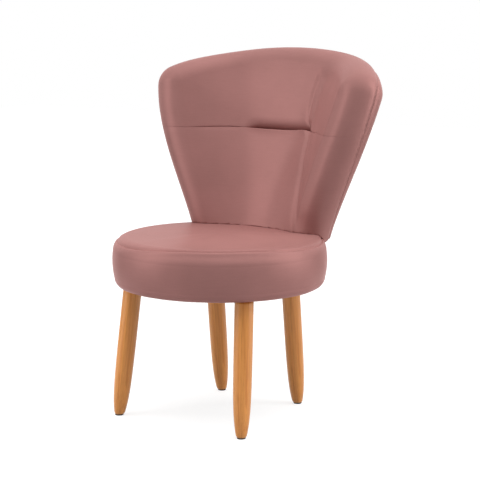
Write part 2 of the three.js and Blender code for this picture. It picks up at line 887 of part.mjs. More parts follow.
function blockSolid({ outward, beside, centre }) {
  const matrix = new THREE.Matrix4()
    .makeBasis(outward, beside, upward)
    .setPosition(centre.clone().setZ(ringBottom + blockHeight / 2));
  const radius = ringInnerRadius - clearance;
  const inside = turned([
    [0, boardBottom],
    [radius, boardBottom],
    [radius, ringTop],
    [0, ringTop],
  ], seatSegments);
  const block = placed(boxed(blockDepth, blockWidth, blockHeight, vector(0, 0, 0)), matrix);
  return cutBy(block.intersect(inside), [insertCutters, wideUprights, ...cuttersOf(lagScrews)]);
}

addPiece('seat_base_board', boardSolid(), plywood);
addPiece('seat_ring_frame', ringSolid(), beech);
blockFrames.forEach((frame) => addPiece(`leg_block_${frame.name}`, blockSolid(frame), beech));
ringScrews.forEach(({ name, solid }) => addPiece(`ring_screw_${name}`, solid, steel));

const acrossNames = ['front', 'middle', 'rear'];
const longNames = ['left', 'centre', 'right'];
strapOffsets.forEach((offset, index) => {
  addPiece(`webbing_across_${acrossNames[index]}`, strapSolid(offset, acrossStrapBottom, false), webbing);
  addPiece(`webbing_long_${longNames[index]}`, strapSolid(offset, longStrapBottom, true), webbing);
});

// Seat upholstery
function seatFoamSolid() {
  const outline = [...coreOutline(0), [frameRadius, foamBottom], [0, foamBottom]];
  return turned(outline, seatSegments).subtract(wideUprights);
}

function seatWaddingSolid() {
  const inset = coverThickness + clearance;
  const bottom = bottomArcHeight + clearance;
  const lowRadius = seatRadius - seatLowerTaper - inset;
  const outer = [...seatTopOutline(inset), ...seatSideOutline(inset), [lowRadius, bottom]];
  const inner = [...coreOutline(-clearance), [frameRadius + clearance, bottom]];
  return turned([...outer, ...inner.reverse()], seatSegments).subtract(wideUprights);
}

function seatTopCoverSolid() {
  const outline = [...seatTopOutline(0), ...seatTopOutline(coverThickness).reverse()];
  return turned(outline, seatSegments).subtract(wideUprights);
}

function seatBandSolid() {
  const seamAngle = seatSeamAngle + seamGapAngle;
  const skin = (inset) => [
    ...arcPoints(topArcRadius, topArcHeight, seatTopRounding - inset, [seamAngle]),
    ...seatSideOutline(inset),
    ...seatBottomOutline(inset),
    [turnInRadius, seatBottomHeight + inset],
  ];
  return cutBy(ringTurned(skin(0), skin(coverThickness), seatSegments), [wideUprights, boltCutters]);
}

function dustCoverSolid() {
  const radius = turnInRadius + dustCoverOverlap;
  const outline = [
    [0, dustCoverBottom],
    [radius, dustCoverBottom],
    [radius, dustCoverTop],
    [0, dustCoverTop],
  ];
  return turned(outline, seatSegments).subtract(boltCutters);
}

addPiece('seat_foam', seatFoamSolid(), foam);
addPiece('seat_wadding', seatWaddingSolid(), wadding);
addPiece('seat_cover_top', seatTopCoverSolid(), velvet);
addPiece('seat_cover_band', seatBandSolid(), velvet);
addPiece('seat_dust_cover', dustCoverSolid(), cambric);

// Back frame
const seatZone = seatEnvelope();
const shellZone = shellSolid(2 * backRoll, shellFace + clearance);
const shellBoard = shellSolid(shellFace, shellFace).subtract(seatZone);
uprights.forEach((upright) => {
  const holes = [...cuttersOf(lagScrews), ...cuttersOf(shellScrews)];
  const bar = cutBy(uprightBar(upright, 0), [shellZone, ...holes]);
  addPiece(`back_upright_${upright.name}`, largestOf(bar), beech);
});
lagScrews.forEach(({ name, solid }) => addPiece(`lag_screw_${name}`, solid, steel));
addPiece('back_shell', cutBy(shellBoard, cuttersOf(shellScrews)), plywood);
shellScrews.forEach(({ name, solid }) => addPiece(`shell_screw_${name}`, solid, steel));

// Back upholstery
const stripGap = stripThickness / 2 + clearance;
const frontFoam = cutBy(frontFoamSolid(), [seatZone, wideUprights, ...cuttersOf(shellScrews)]);
const frontCover = frontCoverSolid().subtract(seatZone);
const strip = seamSlab(-stripThickness / 2, stripThickness / 2, stripHalfWidth);
addPiece('back_foam_upper', abovePart(frontFoam, stripGap), foam);
addPiece('back_foam_lower', belowPart(frontFoam, stripGap), foam);
addPiece('back_pull_strip', largestOf(frontFoam.intersect(strip)), webbing);
addPiece('back_foam_rear', largestOf(cutBy(rearFoamSolid(), [seatZone, wideUprights])), wadding);
addPiece('back_cover_upper', abovePart(frontCover, clearance / 2), velvet);
addPiece('back_cover_lower', belowPart(frontCover, clearance / 2), velvet);
addPiece('back_cover_rear', largestOf(rearCoverSolid().subtract(seatZone)), velvet);

// The origin goes to the middle of the footprint, at floor level
const bounds = new THREE.Box3().setFromObject(chair);
const middle = bounds.getCenter(vector());
chair.position.set(-middle.x, -middle.y, -bounds.min.z);

export default chair;
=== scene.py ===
"""Dresses the scallop back chair: velvet pads, turned oak legs and a white studio.

Metres, +Z up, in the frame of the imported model. The chair faces -Y, and left and right are as
seen from its front. The padded pieces are closed forms worked out as grids of points.
"""
import json
import math

import bmesh
import bpy
import numpy as np
from bpy.props import FloatProperty, FloatVectorProperty, IntProperty, PointerProperty
from bpy.types import Operator, Panel, PropertyGroup
from mathutils import Matrix, Vector


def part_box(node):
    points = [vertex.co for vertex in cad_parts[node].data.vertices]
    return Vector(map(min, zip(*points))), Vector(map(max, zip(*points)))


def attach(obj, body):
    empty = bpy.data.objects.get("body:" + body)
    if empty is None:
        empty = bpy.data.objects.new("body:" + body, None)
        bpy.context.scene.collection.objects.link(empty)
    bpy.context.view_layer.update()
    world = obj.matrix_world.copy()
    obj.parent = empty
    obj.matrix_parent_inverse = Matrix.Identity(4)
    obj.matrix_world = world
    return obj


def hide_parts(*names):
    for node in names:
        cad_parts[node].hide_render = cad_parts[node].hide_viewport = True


bl_info = {
    "name": "Scallop Back Chair",
    "version": (1, 0, 0),
    "blender": (4, 5, 0),
    "location": "View3D > Sidebar > Chair",
    "description": "Velvet pads, turned legs and a studio for a scallop back chair",
    "category": "Add Mesh",
}

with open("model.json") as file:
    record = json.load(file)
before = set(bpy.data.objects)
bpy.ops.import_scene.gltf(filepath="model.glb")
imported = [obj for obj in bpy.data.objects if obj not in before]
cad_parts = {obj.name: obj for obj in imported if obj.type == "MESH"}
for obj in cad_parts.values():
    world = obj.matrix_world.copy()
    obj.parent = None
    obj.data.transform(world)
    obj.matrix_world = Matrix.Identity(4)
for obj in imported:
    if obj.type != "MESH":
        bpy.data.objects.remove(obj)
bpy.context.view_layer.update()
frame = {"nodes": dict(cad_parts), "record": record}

LEGS = ("front_left", "front_right", "rear_left", "rear_right")
MERGE_DISTANCE = 1e-6
SLOPE_STEP = 0.0005
WIDTH_PASSES = 12
DRAWN_LIMIT = 0.9999
RIPPLE_SPREAD = 0.6

# The seat's edge: angles off its front between which the seam goes down, and how hard it is drawn in
SEAM_LOWERS = (0.2, 1.1)
SEAM_PULL_LEAST = 0.75
SEAM_PULL_SPREAD = 1.5
SWELL_POWER = 0.8
EDGE_ARC_STEPS = 24
SHOULDER_DROP = 0.022
SHOULDER_RISE = 0.6
CLOTH_LAP = 0.004

# The back's cover: heights over the seat's rim and places across, in metres
LIP_PLACES = (-0.125, -0.06, 0.0, 0.08, 0.14)
LIP_HEIGHTS = (0.006, 0.014, 0.022, 0.030, 0.024)
VALLEY_RISES = (0.034, 0.099, 0.144, 0.203, 0.256, 0.298, 0.357)
VALLEY_PLACES = (0.154, 0.166, 0.174, 0.163, 0.147, 0.138, 0.145)
CREASE_RISES = (0.03, 0.13, 0.20, 0.24, 0.30, 0.374)
CREASE_PLACES = (0.147, 0.153, 0.146, 0.119, 0.112, 0.122)
FOLD_FADE = 0.03
SEAM_SWELL_REACH = 0.06
EDGE_SWELL_REACH = 0.09

# Shares of the half width between which the cross seam turns faint
RIGHT_FAINT = (0.50, 0.70)
LEFT_FAINT = (0.68, 0.84)


def node_span(node):
    """Lowest and highest corner of a CAD node, as arrays."""
    low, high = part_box(node)
    return np.array(low), np.array(high)


band_low, band_high = node_span("seat_cover_band")
crown_low, crown_high = node_span("seat_cover_top")
seat_centre = (band_low + band_high) / 2
side_bulge = 0.003
seat_crown = 0.005
seat_radius = (band_high[0] - band_low[0]) / 2 - side_bulge
seat_rim = crown_high[2] - seat_crown


def length(name, default, description):
    return FloatProperty(name=name, description=description, default=default, unit="LENGTH", precision=4)


def share(name, default, description):
    return FloatProperty(name=name, description=description, default=default, subtype="FACTOR")


def angle(name, default, description):
    return FloatProperty(
        name=name, description=description, default=math.radians(default), subtype="ANGLE"
    )


def plain(name, default, description):
    return FloatProperty(name=name, description=description, default=default)


def leg_place(name, default):
    return FloatVectorProperty(name=name, description="Shares of the seat's radius", default=default, size=2)


def color(name, default, description):
    return FloatVectorProperty(
        name=name, description=description, default=default, size=3, subtype="COLOR", min=0.0, max=1.0
    )


class SeatShape(PropertyGroup):
    """The round seat."""

    radius: length("Radius", float(seat_radius), "Radius of the seat at its seam of roundings")
    rim_height: length("Rim height", float(seat_rim), "Height of the seat's top at its rim")
    bottom_height: length("Bottom height", float(band_low[2]), "Height of the seat's underside")
    crown: length("Crown", seat_crown, "Rise of the top's middle over its rim")
    top_rounding: length("Top rounding", 0.033, "Radius of the upper edge")
    bottom_rounding: length("Bottom rounding", 0.019, "Radius of the lower edge")
    side_bulge: length("Side bulge", side_bulge, "How far the side swells at its middle")
    lower_taper: length("Lower taper", 0.003, "How far the side draws in at its foot")
    seam_angle: angle("Seam angle", 19.0, "Where the top's seam lies on the upper edge, in front")
    seam_side_angle: angle("Seam angle at the sides", 43.0, "Where it lies at the sides and the rear")
    seam_front: angle("Seam front", 35.6, "Middle of the stretch where the seam is drawn up")
    seam_depth: length("Seam depth", 0.0050, "Depth of the groove at the seam")
    seam_reach: length("Seam reach", 0.0032, "Half width of the groove at the seam")
    pad_depth: length("Pad depth", 0.03, "Thickness of the top's pad")
    turn_in: length("Turn in", 0.009, "Width of the band's turn in under the seat")
    ridge_height: length("Ridge height", 0.0019, "Height of the ridge under the seam, in front")
    dip_depth: length("Dip depth", 0.0022, "Depth of the fold under that ridge")
    around_steps: IntProperty(name="Steps round", description="Points round the seat", default=420)


class BackShape(PropertyGroup):
    """The padded back about its middle surface."""

    roll: length("Edge roll", 0.052, "Radius of the padded edge")
    foot_drop: length("Foot drop", 0.004, "How far the middle surface starts below the seat's rim")
    peak_rise: length("Peak rise", 0.374, "Height of the middle surface's peak over the seat's rim")
    foot_inset: length("Foot inset", 0.050, "Distance of the foot's middle from the seat's radius")
    recline: share("Recline", 0.352, "Slope of the back")
    edge_drop: length("Edge drop", 0.009, "How far the edges start below the seat's rim")
    edge_inset: length("Edge inset", 0.081, "Distance of the edges' foot from the seat's radius")
    edge_setback: length("Edge setback", 0.028, "How far the edges lean back at the top")
    setback_reach: length("Setback reach", 0.353, "Height over which the edges lean back")
    setback_power: plain("Setback power", 4.0, "Curve of the lean")
    side_inset: length("Side inset", 0.059, "Inset of the foot's half width from the seat's radius")
    spread: length("Spread", 0.130, "How much wider each side is at the top")
    spread_reach: length("Spread reach", 0.411, "Height over which the back spreads")
    spread_power: plain("Spread power", 1.2, "Curve of the spread")
    top_sag: length("Top sag", 0.037, "How far the top line falls evenly to the sides")
    corner_drop: length("Corner drop", 0.013, "How far the top line falls at the corners")
    corner_power: plain("Corner power", 12.0, "Curve of the corners")
    foot_bend: share("Bend at the foot", 0.23, "Where the wings bend forward at the foot")
    top_bend: share("Bend at the top", 0.67, "Where the wings bend forward at the top")
    bend_softness: share("Bend softness", 0.25, "How softly the wings bend")
    edge_seam_angle: angle("Edge seam angle", 122.0, "Where the rear panel's seam lies on the roll")
    shell_face: length("Shell face", 0.0053, "Distance of the pads' inner face from the middle surface")
    seat_gap: length("Gap to the seat", 0.0004, "Gap between the pads' foot and the seat")


class CoverRelief(PropertyGroup):
    """Seam, tuck, roll border and folds of the back's front cover."""

    seam_rise: length("Seam rise", 0.213, "Height of the cross seam over the seat's rim")
    seam_end_rise: length("Seam end rise", 0.007, "How far the cross seam rises at its ends")
    seam_roll_rise: length("Seam rise on the roll", 0.030, "How far it climbs on round the roll")
    seam_fade: share("Seam fade", 0.7, "How much fainter it is on the right wing and the rolls")
    upper_seam_depth: length("Upper seam depth", 0.0012, "How far the upper panel draws in at the seam")
    upper_seam_reach: length("Upper seam reach", 0.007, "Height over which it draws in")
    lower_seam_depth: length("Lower seam depth", 0.0028, "How far the lower panel draws in at the seam")
    lower_seam_reach: length("Lower seam reach", 0.018, "Height over which it draws in")
    tuck_depth: length("Tuck depth", 0.036, "Depth of the tuck above the seam")
    tuck_reach: length("Tuck reach", 0.031, "Height of the tuck")
    tuck_left: length("Tuck's left end", -0.070, "Where the tuck fades out on the left")
    tuck_left_fade: length("Left fade", 0.0300, "How slowly it fades on the left")
    tuck_right: length("Tuck's right end", 0.138, "Where the tuck ends on the right")
    tuck_right_fade: length("Right fade", 0.009, "How fast it ends on the right")
    lip_rise: length("Lip rise", 0.0045, "How far the cloth below the tuck leans out")
    lip_edge_depth: length("Lip edge depth", 0.0016, "How far the lip's edge rounds back")
    lip_edge_reach: length("Lip edge reach", 0.003, "Height of that rounding")
    crown: length("Crown", 0.002, "How far each panel swells in its middle")
    valley_depth: length("Valley depth", 0.0030, "Depth of the broad valley up the right wing")
    valley_share: share("Valley width", 0.11, "Its half width, of the back's half width")
    crease_depth: length("Crease depth", 0.0026, "Depth of the fine crease up the right wing")
    crease_reach: length("Crease reach", 0.009, "Half width of that crease")
    roll_valley_depth: length("Roll valley depth", 0.0016, "Depth of the valley beside the roll")
    roll_valley_turn: angle("Roll valley turn", 18.0, "Place and half width of that valley")
    edge_groove_depth: length("Edge groove depth", 0.0018, "Depth of the groove at the rear panel's seam")
    edge_groove_reach: angle("Edge groove reach", 6.0, "Half width of that groove on the roll")


class LegShape(PropertyGroup):
    """The turned legs and their glides."""

    diameter: length("Diameter", 0.0433, "Diameter of a leg at its top")
    tip_diameter: length("Tip diameter", 0.022, "Diameter of a leg at the floor")
    taper_reach: length("Taper reach", 0.042, "Height over which a leg draws in")
    front_top: leg_place("Front leg top", (0.6332, -0.5116))
    front_floor: leg_place("Front leg foot", (0.7012, -0.6548))
    rear_top: leg_place("Rear leg top", (0.4448, 0.5284))
    rear_floor: leg_place("Rear leg foot", (0.4508, 0.6616))


class Looks(PropertyGroup):
    """Colours of the finishes."""

    velvet: color("Velvet", (0.37, 0.176, 0.162), "Body colour of the velvet")
    velvet_light: color("Velvet light", (0.43, 0.205, 0.19), "Colour of the brushed nap")
    velvet_gloss: color("Velvet gloss", (1.0, 0.55, 0.52), "Tint of the velvet's gloss")
    velvet_sheen: color("Velvet sheen", (0.95, 0.5, 0.47), "Tint of the velvet's sheen")
    oak: color("Oak", (0.95, 0.40, 0.092), "Body colour of the legs")
    oak_dark: color("Oak grain", (0.80, 0.29, 0.056), "Colour of the grain lines")
    beech: color("Beech", (0.68, 0.48, 0.28), "Inner frame")
    plywood: color("Plywood", (0.57, 0.38, 0.20), "Boards")
    foam: color("Foam", (0.80, 0.72, 0.45), "Seat foam")
    webbing: color("Webbing", (0.03, 0.026, 0.024), "Straps")
    dust_cloth: color("Dust cloth", (0.012, 0.012, 0.012), "Cloth under the seat")
    steel: color("Steel", (0.35, 0.36, 0.38), "Screws, bolts and staples")
    glide: color("Glide", (0.008, 0.008, 0.008), "Glides under the legs")


class StageSetup(PropertyGroup):
    """Camera, lamps and the white studio."""

    camera_azimuth: angle("Camera azimuth", 35.62, "Round the chair from its front")
    camera_pitch: angle("Camera pitch", 9.09, "Downward tilt of the camera")
    camera_distance: length("Camera distance", 3.66922, "Level distance from the seat's axis")
    camera_height: length("Camera height", 0.99907, "Height of the camera")
    camera_turn: angle("Camera turn", -0.74, "Turn of the camera off the seat's axis")
    camera_lens: plain("Lens", 119.02, "Focal length in millimetres")
    side_angle: angle("Side lamps' angle", 80.0, "Between each side lamp and the camera")
    side_distance: length("Side lamps' distance", 2.0, "From the seat's axis")
    side_height: length("Side lamps' height", 1.2, "Middle of each lamp above the floor")
    side_width: length("Side lamps' width", 1.1, "Width of each lamp")
    side_length: length("Side lamps' length", 2.3, "Upright length of each lamp")
    left_power: plain("Left lamp", 16.5, "Watts")
    right_power: plain("Right lamp", 23.0, "Watts")
    room_strength: share("Room", 0.05, "Brightness of the studio's even light")
    ceiling_strength: plain("Ceiling", 3.0, "Added brightness overhead")
    flag_distance: length("Flag distance", 1.5, "Distance of the dark panels from the seat's axis")
    flag_height: length("Flag height", 0.45, "Height of the dark panels")
    flag_start: angle("Flag start", 107.0, "Where the dark panels start, from the camera's side")
    flag_end: angle("Flag end", 134.0, "Where the dark panels end")
    floor_shade: share("Floor shade", 0.4, "Share of the light that the floor throws back")
    floor_glow: share("Floor glow", 0.76, "Brightness added to the floor where it is seen")


class ChairSettings(PropertyGroup):
    """All the settings of the chair."""

    seat: PointerProperty(type=SeatShape)
    back: PointerProperty(type=BackShape)
    relief: PointerProperty(type=CoverRelief)
    legs: PointerProperty(type=LegShape)
    looks: PointerProperty(type=Looks)
    stage: PointerProperty(type=StageSetup)


# Small maths on whole arrays


def mix(low, high, weight):
    """Low plus the weight times the way to high."""
    return low + (high - low) * weight


def smooth(low, high, value):
    """Eases from 0 at low to 1 at high: 3 t squared less 2 t cubed."""
    t = np.clip((value - low) / (high - low), 0.0, 1.0)
    return t * t * (3.0 - 2.0 * t)


def window(value, start, full, still_full, end):
    """0 outside the stretch from start to end, and 1 in its middle."""
    return smooth(start, full, value) * smooth(end, still_full, value)


def hollow(distance, reach):
    """A bell curve: e to the minus (distance over reach) squared."""
    return np.exp(-((distance / reach) ** 2))


def drawn_in(distance, reach):
    """The edge of a pillow as a quarter round: 1 at the seam, and 0 beyond the reach."""
    t = 1.0 - np.clip(distance / reach, 0.0, 1.0)
    return 1.0 - np.sqrt(1.0 - np.minimum(t, DRAWN_LIMIT) ** 2)


def unit(vectors):
    """Vectors divided by their lengths."""
    return vectors / np.linalg.norm(vectors, axis=-1, keepdims=True)


def ripple(phase, seed, waves=5):
    """A smooth irregular wave of mean 0 along a phase: sines of growing pitch, random by seed."""
    draw = np.random.default_rng(seed)
    pitches = 1.0 + draw.uniform(0.0, RIPPLE_SPREAD, waves) + np.arange(waves)
    starts = draw.uniform(0.0, 2.0 * math.pi, waves)
    weights = 1.0 / (1.0 + np.arange(waves))
    parts = [w * np.sin(p * phase + s) for w, p, s in zip(weights, pitches, starts)]
    return sum(parts) / weights.sum()


def wave(around, height, pitch, seed):
    """An irregular wave round the seat, with its height, its pitch and its seed."""
    return height * ripple(pitch * around, seed)


def between(one, other, shares):
    """Rows of points at shares of the way from one row to the other."""
    return np.stack([mix(one, other, part) for part in shares])


# Making pieces


def grid_faces(rows, columns, start):
    """Corners of the quads between neighbours on a grid of points."""
    index = start + np.arange(rows * columns).reshape(rows, columns)
    corners = (index[:-1, :-1], index[:-1, 1:], index[1:, 1:], index[1:, :-1])
    return np.stack(corners, axis=-1).reshape(-1, 4)


def place_object(name, data):
    """A new object in the scene."""
    item = bpy.data.objects.new(name, data)
    bpy.context.scene.collection.objects.link(item)
    return item


def piece_from(name, patches, material):
    """One smooth mesh from grids of points, welded where they meet, with its faces outwards."""
    faces = []
    start = 0
    for patch in patches:
        rows, columns = patch.shape[:2]
        faces.append(grid_faces(rows, columns, start))
        start += rows * columns
    points = np.concatenate([patch.reshape(-1, 3) for patch in patches])
    mesh = bpy.data.meshes.new(name)
    quads = np.concatenate(faces)
    mesh.vertices.add(len(points))
    mesh.vertices.foreach_set("co", points.astype(np.float32).ravel())
    mesh.loops.add(quads.size)
    mesh.loops.foreach_set("vertex_index", quads.astype(np.int32).ravel())
    mesh.polygons.add(len(quads))
    mesh.polygons.foreach_set("loop_start", np.arange(0, quads.size, 4, dtype=np.int32))
    mesh.update(calc_edges=True)
    form = bmesh.new()
    form.from_mesh(mesh)
    bmesh.ops.remove_doubles(form, verts=form.verts, dist=MERGE_DISTANCE)
    bmesh.ops.dissolve_degenerate(form, edges=form.edges, dist=MERGE_DISTANCE)
    bmesh.ops.recalc_face_normals(form, faces=form.faces)
    form.to_mesh(mesh)
    form.free()
    mesh.shade_smooth()
    mesh.materials.append(material)
    piece = place_object(name, mesh)
    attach(piece, "root")
    return piece


# Seat


class SeatForm:
    """The drum of the seat: a crowned top, two rounded edges and a slightly swelling side."""

    def __init__(self, shape):
        self.shape = shape
        self.arc_radius = shape.radius - shape.top_rounding
        self.arc_height = shape.rim_height - shape.top_rounding
        self.low_radius = shape.radius - shape.lower_taper - shape.bottom_rounding
        self.low_height = shape.bottom_height + shape.bottom_rounding
        self.inner_radius = self.low_radius - shape.turn_in
        self.cloth_radius = self.inner_radius + CLOTH_LAP

    def seam_turns(self, around):
        """Place of the top's seam on the upper edge: high in front, and lower at the sides and the rear."""
        shape = self.shape
        away = np.abs(around - shape.seam_front)
        return mix(shape.seam_angle, shape.seam_side_angle, smooth(*SEAM_LOWERS, away))

    def top_profile(self, steps, around):
        """Radius and height from the middle to the seam, at every angle: a parabola, then an arc."""
        shape = self.shape
        radius = self.arc_radius * np.linspace(0.0, 1.0, steps)[:, None] * np.ones_like(around)
        height = shape.rim_height + shape.crown * (1.0 - (radius / self.arc_radius) ** 2)
        turn = self.seam_turns(around) * np.linspace(0.0, 1.0, EDGE_ARC_STEPS)[1:, None]
        arc_radius = self.arc_radius + shape.top_rounding * np.sin(turn)
        arc_height = self.arc_height + shape.top_rounding * np.cos(turn)
        return np.concatenate([radius, arc_radius]), np.concatenate([height, arc_height])

    def side_profile(self, steps, around):
        """Radius and height from the seam down to the turn in, at every angle: arc, swell, arc."""
        shape = self.shape
        level = np.ones_like(around)
        top = mix(self.seam_turns(around), math.pi / 2, np.linspace(0.0, 1.0, steps)[:, None])
        low = np.linspace(math.pi / 2, math.pi, steps)[:, None] * level
        down = np.linspace(0.0, 1.0, steps)[1:-1, None] * level
        swell = shape.side_bulge * np.sin(math.pi * down) ** SWELL_POWER
        radius = np.concatenate([
            self.arc_radius + shape.top_rounding * np.sin(top),
            shape.radius - shape.lower_taper * down + swell,
            self.low_radius + shape.bottom_rounding * np.sin(low),
        ])
        height = np.concatenate([
            self.arc_height + shape.top_rounding * np.cos(top),
            mix(self.arc_height, self.low_height, down),
            self.low_height + shape.bottom_rounding * np.cos(low),
        ])
        return radius, height

    def surface_height(self, x, y):
        """Height of the drum's top over a point: crown and upper arc, but not below its shoulder."""
        shape = self.shape
        reach = np.hypot(x - seat_centre[0], y - seat_centre[1])
        crown = shape.rim_height + shape.crown * np.clip(1.0 - (reach / self.arc_radius) ** 2, 0.0, 1.0)
        over = np.clip((reach - self.arc_radius) / shape.top_rounding, 0.0, 1.0)
        fall = shape.top_rounding * (1.0 - np.sqrt(1.0 - over**2))
        beyond = np.clip(reach - shape.radius, 0.0, None)
        return np.maximum(crown - fall, shape.rim_height - SHOULDER_DROP + SHOULDER_RISE * beyond)


def turned_grid(radius, height, around):
    """Profiles turned about the seat's axis: each row is one profile point at every angle."""
    x = seat_centre[0] + radius * np.sin(around)
    y = seat_centre[1] - radius * np.cos(around)
    return np.stack([x, y, np.broadcast_to(height, x.shape)], axis=-1)


def seam_pull(around):
    """How hard the seat's seam is drawn in: most at the front, and less towards the back."""
    return mix(SEAM_PULL_LEAST, 1.0, hollow(around, SEAM_PULL_SPREAD))


def run_down(radius, height):
    """Length along each profile from its start."""
    steps = np.hypot(np.diff(radius, axis=0), np.diff(height, axis=0))
    return np.concatenate([np.zeros_like(radius[:1]), np.cumsum(steps, axis=0)])


def full_turn(steps):
    """Angles of a full turn, as one row from minus pi to pi."""
    return np.linspace(-math.pi, math.pi, steps + 1)[None, :]


class ChairSeat(Operator):
    """Makes the seat's top pad, its side pad and the cloth under it"""

    bl_idname = "chair.seat"
    bl_label = "Seat"

    TOP_STEPS = 96
    SIDE_STEPS = 34
    FLOOR_STEPS = 12
    WALL_STEPS = 4
    # Waves are height, pitch and seed. Spans are start, full, still full and end, from the seam
    PUCKER_REACH = 0.012
    TOP_PUCKERS = (0.00025, 34.0, 3)
    TOP_SLACK = (0.0006, 3.0, 5)
    TOP_SLACK_SPAN = (0.0, 0.05, 0.1, 0.25)
    SIDE_PUCKERS = (0.0003, 38.0, 14)
    SIDE_SAG = (0.0007, 6.0, 13)
    SIDE_SAG_SPAN = (0.02, 0.06, 0.09, 0.15)
    RIDGE_PLACE = 0.008
    RIDGE_REACH = 0.006
    DIP_PLACE = 0.02
    DIP_REACH = 0.014
    DIP_DRIFT = (0.0015, 3.0, 11)
    FOLD_SPREAD = 0.85
    ROOF_DROP_SHARE = 0.2
    ROOF_SHARES = (0.0, 0.35, 0.7, 1.0)
    CLOTH_AROUND = 180
    CLOTH_STEPS = 40
    CLOTH_DROPS = (0.0011, 0.0005)
    CLOTH_UPPER_SAG_SHARE = 0.9
    CLOTH_SAG = 0.001
    CLOTH_SAG_REACH = 0.05
    CLOTH_WAVES = (0.0004, 20.0, 21)
    CLOTH_WAVE_REACH = 0.02

    def top_pad(self, form, shape, velvet):
        """The top panel: crowned, dipping to the seam, with short puckers that run to it."""
        around = full_turn(shape.around_steps)
        radius, height = form.top_profile(self.TOP_STEPS, around)
        run = run_down(radius, height)
        inward = run[-1:] - run
        groove = shape.seam_depth * hollow(inward, shape.seam_reach) * seam_pull(around)
        pucker = wave(around, *self.TOP_PUCKERS) * hollow(inward, self.PUCKER_REACH)
        slack = wave(around, *self.TOP_SLACK) * window(inward, *self.TOP_SLACK_SPAN)
        top = turned_grid(radius, height - groove + pucker + slack, around)
        low = top[-1] - np.array([0.0, 0.0, shape.pad_depth])
        wall = between(top[-1], low, np.linspace(0.0, 1.0, self.WALL_STEPS))
        floor_radius = radius[-1:] * np.linspace(1.0, 0.0, self.FLOOR_STEPS)[:, None]
        floor = turned_grid(floor_radius, low[..., 2].mean(), around)
        floor[0] = low
        return piece_from("seat_top_pad", [top, wall, floor], velvet)

    def side_pad(self, form, shape, velvet):
        """The band: its outer profile with the seam, a ridge and a dip under it, and an inner wall."""
        around = full_turn(shape.around_steps)
        radius, height = form.side_profile(self.SIDE_STEPS, around)
        down = run_down(radius, height)
        out = unit(np.stack([-np.gradient(height, axis=0), np.gradient(radius, axis=0)], axis=-1))
        groove = shape.seam_depth * hollow(down, shape.seam_reach) * seam_pull(around)
        drift = wave(around, *self.DIP_DRIFT)
        ridge = shape.ridge_height * hollow(down - self.RIDGE_PLACE, self.RIDGE_REACH)
        dip = shape.dip_depth * hollow(down - self.DIP_PLACE + drift, self.DIP_REACH)
        fold = hollow(around - shape.seam_front, self.FOLD_SPREAD) * (ridge - dip)
        sag = wave(around, *self.SIDE_SAG) * window(down, *self.SIDE_SAG_SPAN)
        pucker = wave(around, *self.SIDE_PUCKERS) * hollow(down, self.PUCKER_REACH)
        lift = fold + sag + pucker - groove
        outer = turned_grid(radius + out[..., 0] * lift, height + out[..., 1] * lift, around)
        low_radius = np.array([[form.low_radius], [form.inner_radius]])
        lower = turned_grid(low_radius, shape.bottom_height, around)
        lower[0] = outer[-1]
        inner_top = form.arc_height - shape.top_rounding * self.ROOF_DROP_SHARE
        inner_height = np.linspace(shape.bottom_height, inner_top, 3)[:, None]
        inner = turned_grid(np.full_like(inner_height, form.inner_radius), inner_height, around)
        inner[0] = lower[-1]
        roof = between(inner[-1], outer[0], self.ROOF_SHARES)
        return piece_from("seat_side_pad", [outer, lower, inner, roof], velvet)

    def under_cloth(self, form, shape, cloth):
        """The dust cloth: a flat round with a folded edge and a slight sag between its staples."""
        around = full_turn(self.CLOTH_AROUND)
        radius = form.cloth_radius * np.linspace(0.0, 1.0, self.CLOTH_STEPS)[:, None]
        edge = radius[-1, 0] - radius
        waves = wave(around, *self.CLOTH_WAVES) * hollow(edge, self.CLOTH_WAVE_REACH)
        sag = self.CLOTH_SAG * smooth(0.0, self.CLOTH_SAG_REACH, edge) + waves
        low_start, high_start = (shape.bottom_height - drop for drop in self.CLOTH_DROPS)
        low = turned_grid(radius, low_start - sag, around)
        high = turned_grid(radius[::-1], high_start - sag[::-1] * self.CLOTH_UPPER_SAG_SHARE, around)
        rim = np.stack([low[-1], high[0]])
        return piece_from("seat_under_cloth", [low, rim, high], cloth)

    def execute(self, context):
        chair = context.scene.chair
        shape = chair.seat
        form = SeatForm(shape)
        velvet = velvet_finish(chair.looks)
        top = self.top_pad(form, shape, velvet)
        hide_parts("seat_cover_top", "seat_wadding")
        side = self.side_pad(form, shape, velvet)
        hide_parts("seat_cover_band")
        cloth = self.under_cloth(form, shape, dust_cloth_finish(chair.looks))
        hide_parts("seat_dust_cover")
        return {"FINISHED"}


# Back


